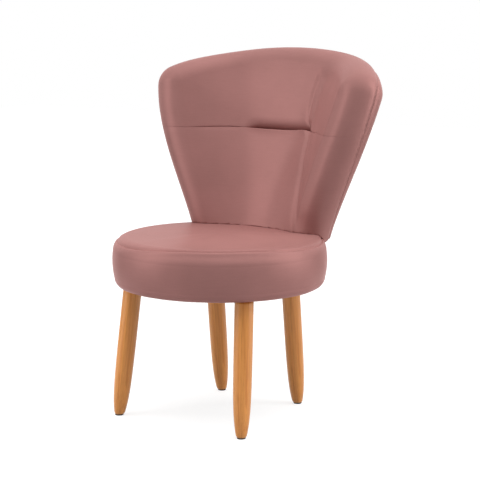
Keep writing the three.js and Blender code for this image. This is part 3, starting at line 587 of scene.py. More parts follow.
class BackForm:
    """The back about its middle surface, with the relief of its front cover."""

    def __init__(self, back, relief, seat):
        self.back = back
        self.relief = relief
        self.seat = seat
        rim = seat.rim_height
        self.foot_height = rim - back.foot_drop
        self.edge_height = rim - back.edge_drop
        self.peak_height = rim + back.peak_rise
        self.seam_height = rim + relief.seam_rise
        self.foot_depth = seat_centre[1] + seat.radius - back.foot_inset
        self.edge_foot_depth = seat_centre[1] + seat.radius - back.edge_inset
        self.foot_half = seat.radius - back.side_inset
        self.widest = self.foot_half + back.spread - back.roll

    def half_width(self, z):
        """Foot half width plus the spread times the sine of a quarter turn as the height grows."""
        back = self.back
        rise = np.clip((z - self.edge_height) / back.spread_reach, 0.0, 1.0)
        return self.foot_half + back.spread * np.sin(math.pi / 2 * rise**back.spread_power) - back.roll

    def centre_depth(self, z):
        """The middle line: the foot's depth plus the slope times the height."""
        return self.foot_depth + self.back.recline * (z - self.seat.rim_height)

    def edge_depth(self, z):
        """The edges: the foot's depth plus the setback times a power of the height."""
        back = self.back
        rise = np.clip((z - self.edge_height) / back.setback_reach, 0.0, None)
        return self.edge_foot_depth + back.edge_setback * rise**back.setback_power

    def bend_rise(self, place, bend):
        """0 at the middle and 1 at the edge: flat, then straight, turned softly at the bend."""
        soft = self.back.bend_softness

        def rise(u):
            """A level stretch between two slopes, as the sum of two hyperbolas."""
            return np.hypot(u - bend, soft) + np.hypot(u + bend, soft) - 2.0 * np.hypot(bend, soft)

        return rise(place) / rise(1.0)

    def middle_depth(self, x, z):
        """The middle surface: from the middle line to the edges by the bend's rise."""
        back = self.back
        up = (z - self.foot_height) / (self.peak_height - self.foot_height)
        bend = mix(back.foot_bend, back.top_bend, up)
        sag = self.centre_depth(z) - self.edge_depth(z)
        return self.centre_depth(z) - sag * self.bend_rise(x / self.half_width(z), bend)

    def middle_points(self, x, z):
        """Points of the middle surface."""
        return np.stack([x, self.middle_depth(x, z), z], axis=-1)

    def middle_normals(self, x, z):
        """Unit normals to the front, from the slopes across and up."""
        step = SLOPE_STEP
        across = (self.middle_depth(x + step, z) - self.middle_depth(x - step, z)) / (2.0 * step)
        up = (self.middle_depth(x, z + step) - self.middle_depth(x, z - step)) / (2.0 * step)
        return unit(np.stack([across, -np.ones_like(across), up], axis=-1))

    def top_line(self, x):
        """The peak's height less a parabola, and less a steep power at the corners."""
        back = self.back
        place = np.clip(np.abs(x) / self.widest, 0.0, 1.0)
        return self.peak_height - back.top_sag * place**2 - back.corner_drop * place**back.corner_power

    def seam_line(self, x):
        """The cross seam's height: a parabola that rises to its ends."""
        return self.seam_height + self.relief.seam_end_rise * (x / self.widest) ** 2

    def foot_line(self, x):
        """A level line, one roll below the middle surface's foot."""
        return np.full_like(x, self.foot_height - self.back.roll)

    def grid(self, places, ups, low_line, high_line):
        """x and z of a panel's grid: rows between two lines, columns at shares of the half width."""
        x = places[None, :] * self.widest * np.ones((len(ups), 1))
        for _ in range(WIDTH_PASSES):
            z = mix(low_line(x), high_line(x), ups[:, None])
            x = places[None, :] * self.half_width(z)
        return x, mix(low_line(x), high_line(x), ups[:, None])

    def path_x(self, z, heights, places):
        """x of an upright fold at each height, from a few stations up the back."""
        return np.interp(z, self.seat.rim_height + np.array(heights), np.array(places))

    def tuck_end(self, x):
        """1 left of the tuck's right end and 0 beyond it."""
        relief = self.relief
        fade = relief.tuck_right_fade
        return smooth(relief.tuck_right + fade, relief.tuck_right - fade, x)

    def tuck_weight(self, x):
        """1 along the tuck and 0 beyond its ends."""
        relief = self.relief
        start = smooth(relief.tuck_left - relief.tuck_left_fade, relief.tuck_left + relief.tuck_left_fade, x)
        return start * self.tuck_end(x)

    def folds(self, x, z):
        """The broad valley up the right wing and the fine crease on its inner flank."""
        relief = self.relief
        valley = self.path_x(z, VALLEY_RISES, VALLEY_PLACES)
        crease = self.path_x(z, CREASE_RISES, CREASE_PLACES)
        sunk = relief.valley_depth * hollow(x - valley, relief.valley_share * self.half_width(z))
        fine = relief.crease_depth * hollow(x - crease, relief.crease_reach)
        return -(sunk + fine) * smooth(0.0, FOLD_FADE, self.top_line(x) - z)

    def seam_weight(self, x):
        """How hard the cross seam is drawn in: less on the right wing and near both rolls."""
        place = x / self.widest
        faint = np.maximum(smooth(*RIGHT_FAINT, place), smooth(*LEFT_FAINT, -place))
        return 1.0 - self.relief.seam_fade * faint

    def front_relief(self, x, z, upper):
        """How far the front stands out from the plain roll: crown, seam, tuck, lip and folds."""
        relief = self.relief
        from_seam = np.abs(z - self.seam_line(x))
        to_edge = np.minimum(self.half_width(z) - np.abs(x), self.top_line(x) - z)
        crown = relief.crown * smooth(0.0, SEAM_SWELL_REACH, from_seam)
        crown = crown * smooth(0.0, EDGE_SWELL_REACH, to_edge)
        tuck = self.tuck_weight(x)
        if upper:
            seam = relief.upper_seam_depth * drawn_in(from_seam, relief.upper_seam_reach)
            pocket = relief.tuck_depth * drawn_in(from_seam, relief.tuck_reach)
        else:
            seam = relief.lower_seam_depth * drawn_in(from_seam, relief.lower_seam_reach) * (1.0 - tuck)
            pocket = relief.lip_edge_depth * drawn_in(from_seam, relief.lip_edge_reach)
            crown = crown + self.lip(x, from_seam)
        return crown - self.seam_weight(x) * seam - tuck * pocket + self.folds(x, z)

    def lip(self, x, from_seam):
        """The cloth below the tuck leans out: a parabola that grows up to the tuck's lower edge."""
        relief = self.relief
        reach = np.interp(x, LIP_PLACES, LIP_HEIGHTS)
        ends = smooth(*LIP_PLACES[:2], x) * self.tuck_end(x)
        return relief.lip_rise * ends * np.clip(1.0 - from_seam / reach, 0.0, 1.0) ** 2


def side_outwards(points, normals):
    """Unit vectors off a side edge: across the surface and square to the edge's run."""
    along = np.gradient(points, axis=-2)
    return unit(np.cross(along, normals))


def roll_grid(points, normals, outwards, radii, turns):
    """A roll about an edge: each turn carries the edge from its normal to its outward side."""
    turn = turns[:, None, None]
    return points + radii[..., None] * (np.cos(turn) * normals + np.sin(turn) * outwards)


def cut_at_seat(grid, form, gap):
    """Moves each column's points below the seat's surface up to where the column meets it."""
    seat = SeatForm(form.seat)
    height = seat.surface_height(grid[..., 0], grid[..., 1]) + gap
    over = grid[..., 2] - height
    first = np.argmax(over > 0.0, axis=0)
    below = np.clip(first - 1, 0, None)
    columns = np.arange(grid.shape[1])
    low, high = grid[below, columns], grid[first, columns]
    drop, rise = over[below, columns], over[first, columns]
    crossing = first > 0
    part = np.where(crossing, -drop / np.where(crossing, rise - drop, 1.0), 1.0)
    meet = mix(low, high, part[:, None])
    rows = np.arange(grid.shape[0])[:, None]
    return np.where((rows < first[None, :])[..., None], meet[None], grid)


class ChairBack(Operator):
    """Makes the back's upper, lower and rear pads"""

    bl_idname = "chair.back"
    bl_label = "Back"

    COLUMNS = 231
    UPPER_ROWS = 84
    LOWER_ROWS = 110
    REAR_ROWS = 150
    ROLL_STEPS = 22
    REAR_ROLL_STEPS = 16
    CORNER_STEPS = 12
    WALL_STEPS = 5
    NEAR_SEAM_POWER = 1.4
    VALLEY_FADE_START = 0.7

    def side_roll(self, form, side, z, shifts, radii, turns):
        """One side's roll. Its stations climb along the edge as it turns, so that the seam runs on level."""
        z = z[None, :] + shifts
        points = form.middle_points(side * form.half_width(z), z)
        normals = form.middle_normals(points[..., 0], z)
        return roll_grid(points, normals, side * side_outwards(points, normals), radii, turns)

    def skin(self, form, x, z, ups, front, outer, upper):
        """The sheet, its side rolls and, over the upper edge, the top roll: a list of grids."""
        back, relief = form.back, form.relief
        points, normals = form.middle_points(x, z), form.middle_normals(x, z)
        seam_turn = back.edge_seam_angle
        steps = self.ROLL_STEPS if front else self.REAR_ROLL_STEPS
        turns = np.linspace(0.0 if front else math.pi, seam_turn, steps)
        base = back.roll if outer else back.shell_face
        radii = np.full_like(turns, base)
        lift = np.zeros_like(x)
        if outer:
            radii = radii - relief.edge_groove_depth * hollow(turns - seam_turn, relief.edge_groove_reach)
            if front:
                lift = form.front_relief(x, z, upper)
        facing = 1.0 if front else -1.0
        sheet = points + normals * (facing * base + lift)[..., None]

        fade = np.clip(np.cos(turns), 0.0, 1.0)[:, None] if front else np.zeros((steps, 1))
        near_seam = 1.0 - ups if upper else ups
        climb = relief.seam_roll_rise if front else 0.0
        shifts = climb * (turns / seam_turn)[:, None] * near_seam[None, :]
        left_radii, right_radii = (radii[:, None] + fade * lift[None, :, side] for side in (0, -1))
        if front and outer:
            right_radii = right_radii - self.roll_valley(form, turns, ups, upper)
        left = self.side_roll(form, -1.0, z[:, 0], shifts, left_radii, turns)
        right = self.side_roll(form, 1.0, z[:, -1], shifts, right_radii, turns)
        wide = np.concatenate([
            left[::-1][:-1].transpose(1, 0, 2),
            sheet,
            right[1:].transpose(1, 0, 2),
        ], axis=1)
        if not upper:
            return [wide]
        left_out = -side_outwards(points[:, 0], normals[:, 0])[-1]
        right_out = side_outwards(points[:, -1], normals[:, -1])[-1]
        top_out = -side_outwards(points[-1], normals[-1])
        turn = np.linspace(0.0, 1.0, self.CORNER_STEPS)[:, None]
        outwards = np.concatenate([
            unit(mix(left_out, top_out[0], turn)),
            top_out[1:-1],
            unit(mix(top_out[-1], right_out, turn)),
        ])
        run_points, run_normals, run_lift = (self.along_top(values[-1]) for values in (points, normals, lift))
        top = roll_grid(run_points, run_normals, outwards, radii[:, None] + fade * run_lift[None, :], turns)
        return [wide, top]

    def along_top(self, row):
        """The top row's values, with both ends repeated for the fans at its corners."""
        ends = [np.repeat(end, self.CORNER_STEPS, axis=0) for end in (row[:1], row[-1:])]
        return np.concatenate([ends[0], row[1:-1], ends[1]])

    def roll_valley(self, form, turns, ups, upper):
        """The valley between the right wing and its roll, which fades out at the top corner."""
        relief = form.relief
        across = hollow(turns - relief.roll_valley_turn, relief.roll_valley_turn)[:, None]
        along = smooth(1.0, self.VALLEY_FADE_START, ups) if upper else np.ones_like(ups)
        return relief.roll_valley_depth * across * along[None, :]

    def edge(self, skin, kind):
        """One edge of a skin, as a row of points."""
        wide = skin[0]
        if kind == "top":
            return skin[-1][-1]
        return {"low": wide[0], "high": wide[-1], "left": wide[:, 0], "right": wide[:, -1]}[kind]

    def closed(self, outer, inner, ends):
        """The outer and inner skins with the walls that join their edges."""
        shares = np.linspace(0.0, 1.0, self.WALL_STEPS)
        walls = [between(self.edge(outer, kind), self.edge(inner, kind), shares) for kind in ends]
        return [*outer, *inner, *walls]

    def panel(self, form, name, rows, low_line, high_line, front, upper, ends, velvet):
        """A pad between two lines across the back, closed, and cut off where it meets the seat."""
        places = np.linspace(-1.0, 1.0, self.COLUMNS)
        x, z = form.grid(places, rows, low_line, high_line)
        outer = self.skin(form, x, z, rows, front, True, upper)
        inner = self.skin(form, x, z, rows, front, False, upper)
        if low_line == form.foot_line:
            outer[0] = cut_at_seat(outer[0], form, form.back.seat_gap)
            inner[0] = cut_at_seat(inner[0], form, form.back.seat_gap)
        return piece_from(name, self.closed(outer, inner, ends), velvet)

    def execute(self, context):
        chair = context.scene.chair
        form = BackForm(chair.back, chair.relief, chair.seat)
        velvet = velvet_finish(chair.looks)
        near_low = np.linspace(0.0, 1.0, self.UPPER_ROWS) ** self.NEAR_SEAM_POWER
        near_high = 1.0 - np.linspace(1.0, 0.0, self.LOWER_ROWS) ** self.NEAR_SEAM_POWER
        even = np.linspace(0.0, 1.0, self.REAR_ROWS)
        upper = self.panel(
            form, "back_upper_pad", near_low, form.seam_line, form.top_line, True, True,
            ("low", "left", "right", "top"), velvet,
        )
        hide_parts("back_cover_upper", "back_foam_upper", "back_pull_strip")
        lower = self.panel(
            form, "back_lower_pad", near_high, form.foot_line, form.seam_line, True, False,
            ("low", "high", "left", "right"), velvet,
        )
        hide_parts("back_cover_lower", "back_foam_lower")
        rear = self.panel(
            form, "back_rear_pad", even, form.foot_line, form.top_line, False, True,
            ("low", "left", "right", "top"), velvet,
        )
        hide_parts("back_cover_rear", "back_foam_rear")
        return {"FINISHED"}


# Legs


class ChairLegs(Operator):
    """Makes the turned legs and their glides"""

    bl_idname = "chair.legs"
    bl_label = "Legs"

    AROUND = 72
    ALONG = 90
    ALONG_POWER = 1.5
    LENGTH_PASSES = 8
    WORN_DEPTH = 0.0012
    WORN_REACH = 0.0022
    CAP_SHARES = (0.0, 0.5, 1.0)
    GLIDE_AROUND = 48
    GLIDE_ARC_STEPS = 6
    GLIDE_THICKNESS = 0.003
    GLIDE_ROUNDING = 0.001
    GLIDE_FLAT_SHARE = 0.5
    NAIL_RADIUS = 0.0015

    def leg(self, name, shape, seat, top, floor, oak):
        """A leg: radius falls to the tip by an exponential, and both ends are cut level."""
        low, high = node_span("leg_" + name)
        foot = np.array([*floor, 0.0])
        axis = unit(np.array([*top, seat.bottom_height]) - foot)
        side = unit(np.cross(axis, np.array([0.0, 1.0, 0.0])))
        other = np.cross(axis, side)
        around = full_turn(self.AROUND) + math.pi
        radial = np.cos(around)[..., None] * side + np.sin(around)[..., None] * other

        def radius(along):
            """Half the diameter, less what the taper draws in near the floor."""
            drawn = (shape.diameter - shape.tip_diameter) * np.exp(-along * axis[2] / shape.taper_reach)
            return (shape.diameter - drawn) / 2.0

        def along_at(height):
            """Length along the leg at which its surface has a height, by repeated correction."""
            along = np.full_like(around, height / axis[2])
            for _ in range(self.LENGTH_PASSES):
                along = (height - radius(along) * radial[..., 2]) / axis[2]
            return along

        stations = np.linspace(0.0, 1.0, self.ALONG)[:, None] ** self.ALONG_POWER
        along = mix(along_at(low[2]), along_at(high[2]), stations)
        worn = self.WORN_DEPTH * hollow(along - along[:1], self.WORN_REACH)
        body = foot + along[..., None] * axis + (radius(along) - worn)[..., None] * radial
        ends = [between(ring, ring[:-1].mean(axis=0), self.CAP_SHARES) for ring in (body[0], body[-1])]
        piece = piece_from("turned_leg_" + name, [body, *ends], oak)
        grain = piece.data.attributes.new("grain", "FLOAT_VECTOR", "POINT")
        points = np.empty(len(piece.data.vertices) * 3, np.float32)
        piece.data.vertices.foreach_get("co", points)
        local = (points.reshape(-1, 3) - foot) @ np.stack([side, other, axis]).T
        grain.data.foreach_set("vector", local.astype(np.float32).ravel())
        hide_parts("leg_" + name)

    def glide(self, name, look):
        """A glide: a flat disc with a rounded edge, and the nail that holds it."""
        low, high = node_span("leg_glide_" + name)
        centre = (low + high) / 2.0
        radius = (high[0] - low[0]) / 2.0
        turn = np.linspace(0.0, math.pi / 2, self.GLIDE_ARC_STEPS)
        arc = np.stack([radius - self.GLIDE_ROUNDING * (1.0 - np.sin(turn)),
                        self.GLIDE_ROUNDING * (1.0 - np.cos(turn))], axis=-1)
        outline = np.concatenate([
            [(0.0, 0.0), (radius * self.GLIDE_FLAT_SHARE, 0.0)],
            arc,
            [(radius, self.GLIDE_THICKNESS), (self.NAIL_RADIUS, self.GLIDE_THICKNESS)],
            [(self.NAIL_RADIUS, high[2] - self.NAIL_RADIUS), (0.0, high[2])],
        ])
        around = full_turn(self.GLIDE_AROUND) + math.pi
        x = centre[0] + outline[:, :1] * np.cos(around)
        y = centre[1] + outline[:, :1] * np.sin(around)
        z = np.broadcast_to(outline[:, 1:], x.shape)
        piece = piece_from("glide_" + name, [np.stack([x, y, z], axis=-1)], look)
        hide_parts("leg_glide_" + name)

    def execute(self, context):
        chair = context.scene.chair
        shape, seat = chair.legs, chair.seat
        oak = oak_finish(chair.looks)
        dark = glide_finish(chair.looks)
        for name in LEGS:
            place, side = name.split("_")
            mirror = np.array([1.0 if side == "right" else -1.0, 1.0]) * seat.radius
            top = np.array(getattr(shape, place + "_top")) * mirror + seat_centre[:2]
            floor = np.array(getattr(shape, place + "_floor")) * mirror + seat_centre[:2]
            self.leg(name, shape, seat, top, floor, oak)
            self.glide(name, dark)
        return {"FINISHED"}


# Finishes: each pattern's scale, detail and roughness, its stretch, where its two colours blend,
# and the depth and strength of its bump
BLEND_SPAN = (0.3, 0.7)
NAP_PATCHES = (7.0, 4.0, 0.55)
NAP_STREAKS = (1.0, 3.0, 0.6)
NAP_STREAK_STRETCH = (30.0, 30.0, 420.0)
PATCH_SHARE = 0.75
PILE = (1500.0, 2.0, 0.6)
PILE_SHADE = (0.93, 0.93, 0.93)
PILE_LIGHT = (1.04, 1.04, 1.04)
PILE_BUMP = (0.0001, 0.5)
WEAVE = (320.0, 3.0, 0.7)
WEAVE_BUMP = (0.00025, 0.3)
VELVET_ROUGHNESS = (0.38, 0.46)
VELVET_SOCKETS = {
    "Metallic": 0.2,
    "Specular IOR Level": 0.1,
    "Sheen Weight": 0.3,
    "Sheen Roughness": 0.35,
}
GRAIN = (1.0, 4.0, 0.6)
GRAIN_STRETCH = (260.0, 260.0, 7.0)
GRAIN_SPAN = (0.32, 0.56)
PORES = (1.0, 3.0, 0.6)
PORE_STRETCH = (1100.0, 1100.0, 28.0)
PORE_SHADE = (0.86, 0.82, 0.76)
PORE_SPAN = (0.33, 0.5)
PORE_BUMP = (0.00015, 0.4)
DRIFT = (1.0, 2.0, 0.5)
DRIFT_STRETCH = (55.0, 55.0, 3.0)
DRIFT_SPAN = (0.35, 0.65)
DRIFT_SHADE = (0.90, 0.84, 0.78)
DRIFT_LIGHT = (1.06, 1.03, 1.0)
OAK_ROUGHNESS = (0.42, 0.34)
OAK_SOCKETS = {"Coat Weight": 0.15, "Coat Roughness": 0.25}
PLAIN_PATTERN = (4.0, 0.6)
PLAIN_ROUGHNESS_SPAN = 0.06
PLAIN_BUMP_STRENGTH = 0.5
EVEN = (1.0, 1.0, 1.0)


def set_inputs(node, values):
    """Sets inputs by name, each to a value or to another node's output."""
    for name, value in values.items():
        if isinstance(value, bpy.types.NodeSocket):
            node.id_data.links.new(value, node.inputs[name])
        else:
            node.inputs[name].default_value = value


def add_node(tree, kind, inputs=None, **settings):
    node = tree.nodes.new(kind)
    for name, value in settings.items():
        setattr(node, name, value)
    set_inputs(node, inputs or {})
    return node


def start_finish(name):
    """A new material with only a principled shader and its output."""
    material = bpy.data.materials.get(name)
    if material:
        return material, None, None
    material = bpy.data.materials.new(name)
    material.use_nodes = True
    tree = material.node_tree
    tree.nodes.clear()
    shader = add_node(tree, "ShaderNodeBsdfPrincipled")
    add_node(tree, "ShaderNodeOutputMaterial", {"Surface": shader.outputs["BSDF"]})
    return material, tree, shader


def rgba(values, scale=1.0):
    return (*(value * scale for value in values), 1.0)


def scaled_coordinates(tree, source, scale):
    return add_node(tree, "ShaderNodeMapping", {"Vector": source, "Scale": scale}).outputs["Vector"]


def noise(tree, vector, scale, detail, roughness):
    inputs = {"Vector": vector, "Scale": scale, "Detail": detail, "Roughness": roughness}
    return add_node(tree, "ShaderNodeTexNoise", inputs).outputs["Fac"]


def ramp(tree, factor, low, high, start, end):
    """Blends two colours as the factor goes from start to end."""
    node = add_node(tree, "ShaderNodeValToRGB", {"Fac": factor})
    for stop, place, tint in zip(node.color_ramp.elements, (start, end), (low, high)):
        stop.position = place
        stop.color = tint
    return node.outputs["Color"]


def number(tree, factor, low, high):
    """Maps a factor from 0 to 1 onto a range of numbers."""
    inputs = {"Value": factor, "To Min": low, "To Max": high}
    return add_node(tree, "ShaderNodeMapRange", inputs).outputs["Result"]


def bump(tree, height, distance, strength, normal=None):
    inputs = {"Height": height, "Distance": distance, "Strength": strength}
    if normal:
        inputs["Normal"] = normal
    return add_node(tree, "ShaderNodeBump", inputs).outputs["Normal"]


def multiplied(tree, one, other):
    """Two colours multiplied. The Mix node's colour sockets have the numbers 6, 7 and 2."""
    inputs = {"Factor": 1.0, 6: one, 7: other}
    return add_node(tree, "ShaderNodeMix", inputs, data_type="RGBA", blend_type="MULTIPLY").outputs[2]


def velvet_finish(looks):
    """Short napped velvet: brushed patches, fine cross streaks, a pile bump and a soft sheen."""
    material, tree, shader = start_finish("rose_velvet")
    if not tree:
        return material
    place = add_node(tree, "ShaderNodeTexCoord").outputs["Object"]
    patches = noise(tree, place, *NAP_PATCHES)
    streaks = noise(tree, scaled_coordinates(tree, place, NAP_STREAK_STRETCH), *NAP_STREAKS)
    pile = noise(tree, place, *PILE)
    weave = noise(tree, place, *WEAVE)
    broad = number(tree, patches, 0.0, PATCH_SHARE)
    fine = number(tree, streaks, 0.0, 1.0 - PATCH_SHARE)
    brushed = add_node(tree, "ShaderNodeMath", {0: broad, 1: fine}, operation="ADD").outputs["Value"]
    body = ramp(tree, brushed, rgba(looks.velvet), rgba(looks.velvet_light), *BLEND_SPAN)
    speckle = ramp(tree, pile, rgba(PILE_SHADE), rgba(PILE_LIGHT), *BLEND_SPAN)
    coarse = bump(tree, weave, *WEAVE_BUMP)
    set_inputs(shader, {
        "Base Color": multiplied(tree, body, speckle),
        "Roughness": number(tree, patches, *VELVET_ROUGHNESS),
        "Normal": bump(tree, pile, *PILE_BUMP, coarse),
        "Specular Tint": rgba(looks.velvet_gloss),
        "Sheen Tint": rgba(looks.velvet_sheen),
        **VELVET_SOCKETS,
    })
    return material


def oak_finish(looks):
    """Satin oak: grain lines, long pores and a broad colour drift that run along the leg."""
    material, tree, shader = start_finish("honey_oak")
    if not tree:
        return material
    grain = add_node(tree, "ShaderNodeAttribute", attribute_name="grain").outputs["Vector"]
    lines = noise(tree, scaled_coordinates(tree, grain, GRAIN_STRETCH), *GRAIN)
    pores = noise(tree, scaled_coordinates(tree, grain, PORE_STRETCH), *PORES)
    drift = noise(tree, scaled_coordinates(tree, grain, DRIFT_STRETCH), *DRIFT)
    body = ramp(tree, lines, rgba(looks.oak_dark), rgba(looks.oak), *GRAIN_SPAN)
    warm = ramp(tree, drift, rgba(DRIFT_SHADE), rgba(DRIFT_LIGHT), *DRIFT_SPAN)
    fine = ramp(tree, pores, rgba(PORE_SHADE), rgba(EVEN), *PORE_SPAN)
    set_inputs(shader, {
        "Base Color": multiplied(tree, multiplied(tree, body, warm), fine),
        "Roughness": number(tree, lines, *OAK_ROUGHNESS),
        "Normal": bump(tree, pores, *PORE_BUMP),
        **OAK_SOCKETS,
    })
    return material


def plain_finish(name, tint, scale, roughness, stretch=EVEN, metallic=0.0, contrast=0.25, depth=0.0002):
    """A finish with an even colour drift and a matching bump, stretched along an axis for grain."""
    material, tree, shader = start_finish(name)
    if not tree:
        return material
    place = add_node(tree, "ShaderNodeTexCoord").outputs["Object"]
    pattern = noise(tree, scaled_coordinates(tree, place, stretch), scale, *PLAIN_PATTERN)
    dark, light = rgba(tint, 1.0 - contrast), rgba(tint, 1.0 + contrast / 2.0)
    span = (roughness - PLAIN_ROUGHNESS_SPAN, roughness + PLAIN_ROUGHNESS_SPAN)
    set_inputs(shader, {
        "Base Color": ramp(tree, pattern, dark, light, *BLEND_SPAN),
        "Roughness": number(tree, pattern, *span),
        "Normal": bump(tree, pattern, depth, PLAIN_BUMP_STRENGTH),
        "Metallic": metallic,
    })
    return material


def glide_finish(looks):
    return plain_finish("black_glide", looks.glide, scale=900.0, roughness=0.55)


def dust_cloth_finish(looks):
    return plain_finish(
        "dust_cloth", looks.dust_cloth, scale=1400.0, roughness=0.9, contrast=0.5, depth=0.0004
    )


class ChairInside(Operator):
    """Finishes the frame, fasteners, webbing and foam that the covers hide"""

    bl_idname = "chair.inside"
    bl_label = "Inside"

    def execute(self, context):
        looks = context.scene.chair.looks
        finishes = {
            "frame_beech": plain_finish(
                "planed_beech", looks.beech, scale=60.0, roughness=0.6, stretch=(1.0, 6.0, 1.0)
            ),
            "plywood": plain_finish(
                "sanded_plywood", looks.plywood, scale=40.0, roughness=0.65, stretch=(1.0, 5.0, 5.0)
            ),
            "foam": plain_finish("open_foam", looks.foam, scale=700.0, roughness=0.95, depth=0.0006),
            "webbing": plain_finish(
                "woven_webbing", looks.webbing, scale=500.0, roughness=0.85, stretch=(1.0, 1.0, 3.0)
            ),
            "steel": plain_finish(
                "zinc_steel", looks.steel, scale=300.0, roughness=0.35, metallic=1.0, contrast=0.1
            ),
        }
        slots = {part["node"]: part["material_slot"] for part in frame["record"]["subparts"]}
        for name, node in frame["nodes"].items():
            finish = finishes.get(slots[name])
            if finish and not node.hide_render:
                for holder in node.material_slots:
                    holder.material = finish
        return {"FINISHED"}


# Stage


def seen_directly(tree):
    """1 for camera, glossy and transmission rays, and 0 for the rest."""
    paths = add_node(tree, "ShaderNodeLightPath")
    seen = paths.outputs["Is Camera Ray"]
    for name in ("Is Glossy Ray", "Is Transmission Ray"):
        seen = add_node(
            tree, "ShaderNodeMath", {0: seen, 1: paths.outputs[name]}, operation="MAXIMUM"
        ).outputs["Value"]
    return seen


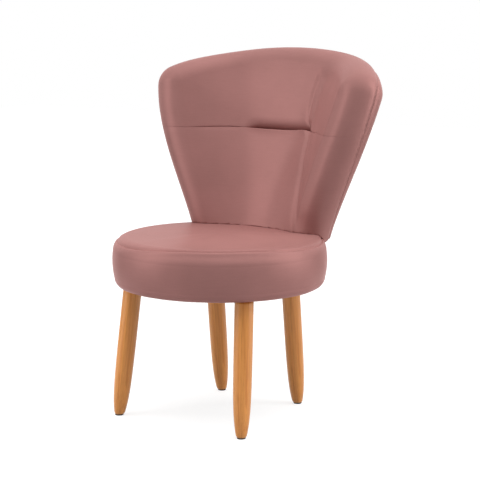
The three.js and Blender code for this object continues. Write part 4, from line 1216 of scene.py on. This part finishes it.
class ChairStage(Operator):
    """Makes the white studio, its lamps and the camera"""

    bl_idname = "chair.stage"
    bl_label = "Stage"

    FLOOR_SIZE = 14.0
    CEILING_START = 0.6
    FLAG_FOOT = 0.01
    FLAG_COLUMNS = 9
    FLAG_SHADE = (0.01, 0.01, 0.01)
    FLAG_GRAIN = 4.0
    FLAG_ROUGHNESS = 0.9
    LAMP_AIM = 0.55
    SENSOR_WIDTH = 36.0

    def white(self, name, shade, strength):
        """White for the camera, reflections and clear views, plain diffuse white for other light."""
        material = bpy.data.materials.new(name)
        material.use_nodes = True
        tree = material.node_tree
        tree.nodes.clear()
        diffuse = add_node(tree, "ShaderNodeBsdfDiffuse", {"Color": rgba(EVEN, shade)}).outputs[0]
        glow = add_node(tree, "ShaderNodeEmission", {"Strength": strength}).outputs[0]
        both = add_node(tree, "ShaderNodeAddShader", {0: diffuse, 1: glow}).outputs[0]
        choice = add_node(tree, "ShaderNodeMixShader", {0: seen_directly(tree), 1: diffuse, 2: both})
        add_node(tree, "ShaderNodeOutputMaterial", {"Surface": choice.outputs[0]})
        return material

    def floor(self, shade, glow):
        half = self.FLOOR_SIZE / 2.0
        mesh = bpy.data.meshes.new("studio_floor")
        corners = [(-half, -half, 0.0), (half, -half, 0.0), (half, half, 0.0), (-half, half, 0.0)]
        mesh.from_pydata(corners, [], [(0, 1, 2, 3)])
        mesh.materials.append(self.white("white_floor", shade, glow))
        floor = place_object("studio_floor", mesh)

    def world(self, stage):
        """White where it is seen, and for other light a dim room that is brighter overhead."""
        world = bpy.data.worlds.new("studio_room")
        bpy.context.scene.world = world
        world.use_nodes = True
        tree = world.node_tree
        tree.nodes.clear()
        place = add_node(tree, "ShaderNodeTexCoord").outputs["Generated"]
        height = add_node(tree, "ShaderNodeSeparateXYZ", {"Vector": place}).outputs["Z"]
        overhead = add_node(
            tree, "ShaderNodeMapRange",
            {"Value": height, "From Min": self.CEILING_START, "From Max": 1.0,
             "To Min": stage.room_strength, "To Max": stage.room_strength + stage.ceiling_strength},
            interpolation_type="SMOOTHSTEP",
        ).outputs["Result"]
        level = number(tree, seen_directly(tree), overhead, 1.0)
        sky = add_node(tree, "ShaderNodeBackground", {"Color": rgba(EVEN), "Strength": level})
        add_node(tree, "ShaderNodeOutputWorld", {"Surface": sky.outputs[0]})

    def flag(self, name, stage, low_turn, high_turn, look):
        """A dark upright panel that only reflections show, to shape the bands on the velvet."""
        turns = np.linspace(low_turn, high_turn, self.FLAG_COLUMNS)[None, :] + stage.camera_azimuth
        heights = np.array([[self.FLAG_FOOT], [stage.flag_height]])
        points = turned_grid(stage.flag_distance * np.ones_like(heights), heights, turns)
        mesh = bpy.data.meshes.new(name)
        mesh.from_pydata(points.reshape(-1, 3).tolist(), [], grid_faces(2, self.FLAG_COLUMNS, 0).tolist())
        mesh.materials.append(look)
        panel = place_object(name, mesh)
        for ray in ("camera", "diffuse", "transmission", "volume_scatter", "shadow"):
            setattr(panel, "visible_" + ray, False)

    def lamp(self, name, azimuth, stage, power):
        """A tall area lamp at an azimuth from the chair's front, facing the chair."""
        target = Vector((seat_centre[0], seat_centre[1], self.LAMP_AIM))
        place = Vector((
            target.x + stage.side_distance * math.sin(azimuth),
            target.y - stage.side_distance * math.cos(azimuth),
            stage.side_height,
        ))
        offset = place - target
        data = bpy.data.lights.new(name, "AREA")
        data.shape = "RECTANGLE"
        data.size = stage.side_width
        data.size_y = stage.side_length
        data.energy = power
        lamp = place_object(name, data)
        lamp.location = place
        lamp.rotation_euler = (-offset).to_track_quat("-Z", "Y").to_euler()

    def camera(self, stage):
        """The camera of the photograph: level distance, height, pitch and a small turn."""
        azimuth = stage.camera_azimuth
        yaw = azimuth + stage.camera_turn
        pitch = stage.camera_pitch
        right = Vector((math.cos(yaw), math.sin(yaw), 0.0))
        level = Vector((-math.sin(yaw), math.cos(yaw), 0.0)) * math.cos(pitch)
        forward = level - Vector((0.0, 0.0, math.sin(pitch)))
        up = right.cross(forward)
        data = bpy.data.cameras.new("photo_camera")
        data.lens = stage.camera_lens
        data.sensor_width = self.SENSOR_WIDTH
        camera = place_object("photo_camera", data)
        matrix = Matrix((right, up, -forward)).transposed().to_4x4()
        matrix.translation = Vector((
            seat_centre[0] + stage.camera_distance * math.sin(azimuth),
            seat_centre[1] - stage.camera_distance * math.cos(azimuth),
            stage.camera_height,
        ))
        camera.matrix_world = matrix
        bpy.context.scene.camera = camera

    def execute(self, context):
        stage = context.scene.chair.stage
        self.floor(stage.floor_shade, stage.floor_glow)
        self.world(stage)
        look = plain_finish("black_flag", self.FLAG_SHADE, self.FLAG_GRAIN, self.FLAG_ROUGHNESS)
        self.flag("left_flag", stage, -stage.flag_start, -stage.flag_end, look)
        self.flag("right_flag", stage, stage.flag_start, stage.flag_end, look)
        front = stage.camera_azimuth
        turn = stage.side_angle
        self.lamp("left_softbox", front - turn, stage, stage.left_power)
        self.lamp("right_softbox", front + turn, stage, stage.right_power)
        self.camera(stage)
        context.scene.view_settings.view_transform = "Standard"
        return {"FINISHED"}


class ChairPanel(Panel):
    """Lists the operators that make the chair"""

    bl_idname = "VIEW3D_PT_chair"
    bl_label = "Scallop back chair"
    bl_space_type = "VIEW_3D"
    bl_region_type = "UI"
    bl_category = "Chair"

    def draw(self, context):
        for operator in OPERATORS:
            self.layout.operator(operator.bl_idname)


OPERATORS = (ChairSeat, ChairBack, ChairLegs, ChairInside, ChairStage)
GROUPS = (SeatShape, BackShape, CoverRelief, LegShape, Looks, StageSetup, ChairSettings)
CLASSES = (*GROUPS, *OPERATORS, ChairPanel)


def register():
    for each in CLASSES:
        bpy.utils.register_class(each)
    bpy.types.Scene.chair = PointerProperty(type=ChairSettings)


def unregister():
    del bpy.types.Scene.chair
    for each in reversed(CLASSES):
        bpy.utils.unregister_class(each)


def main():
    """Registers the classes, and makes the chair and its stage."""
    register()
    bpy.ops.chair.seat()
    bpy.ops.chair.back()
    bpy.ops.chair.legs()
    bpy.ops.chair.inside()
    bpy.ops.chair.stage()


if __name__ == "__main__":
    main()
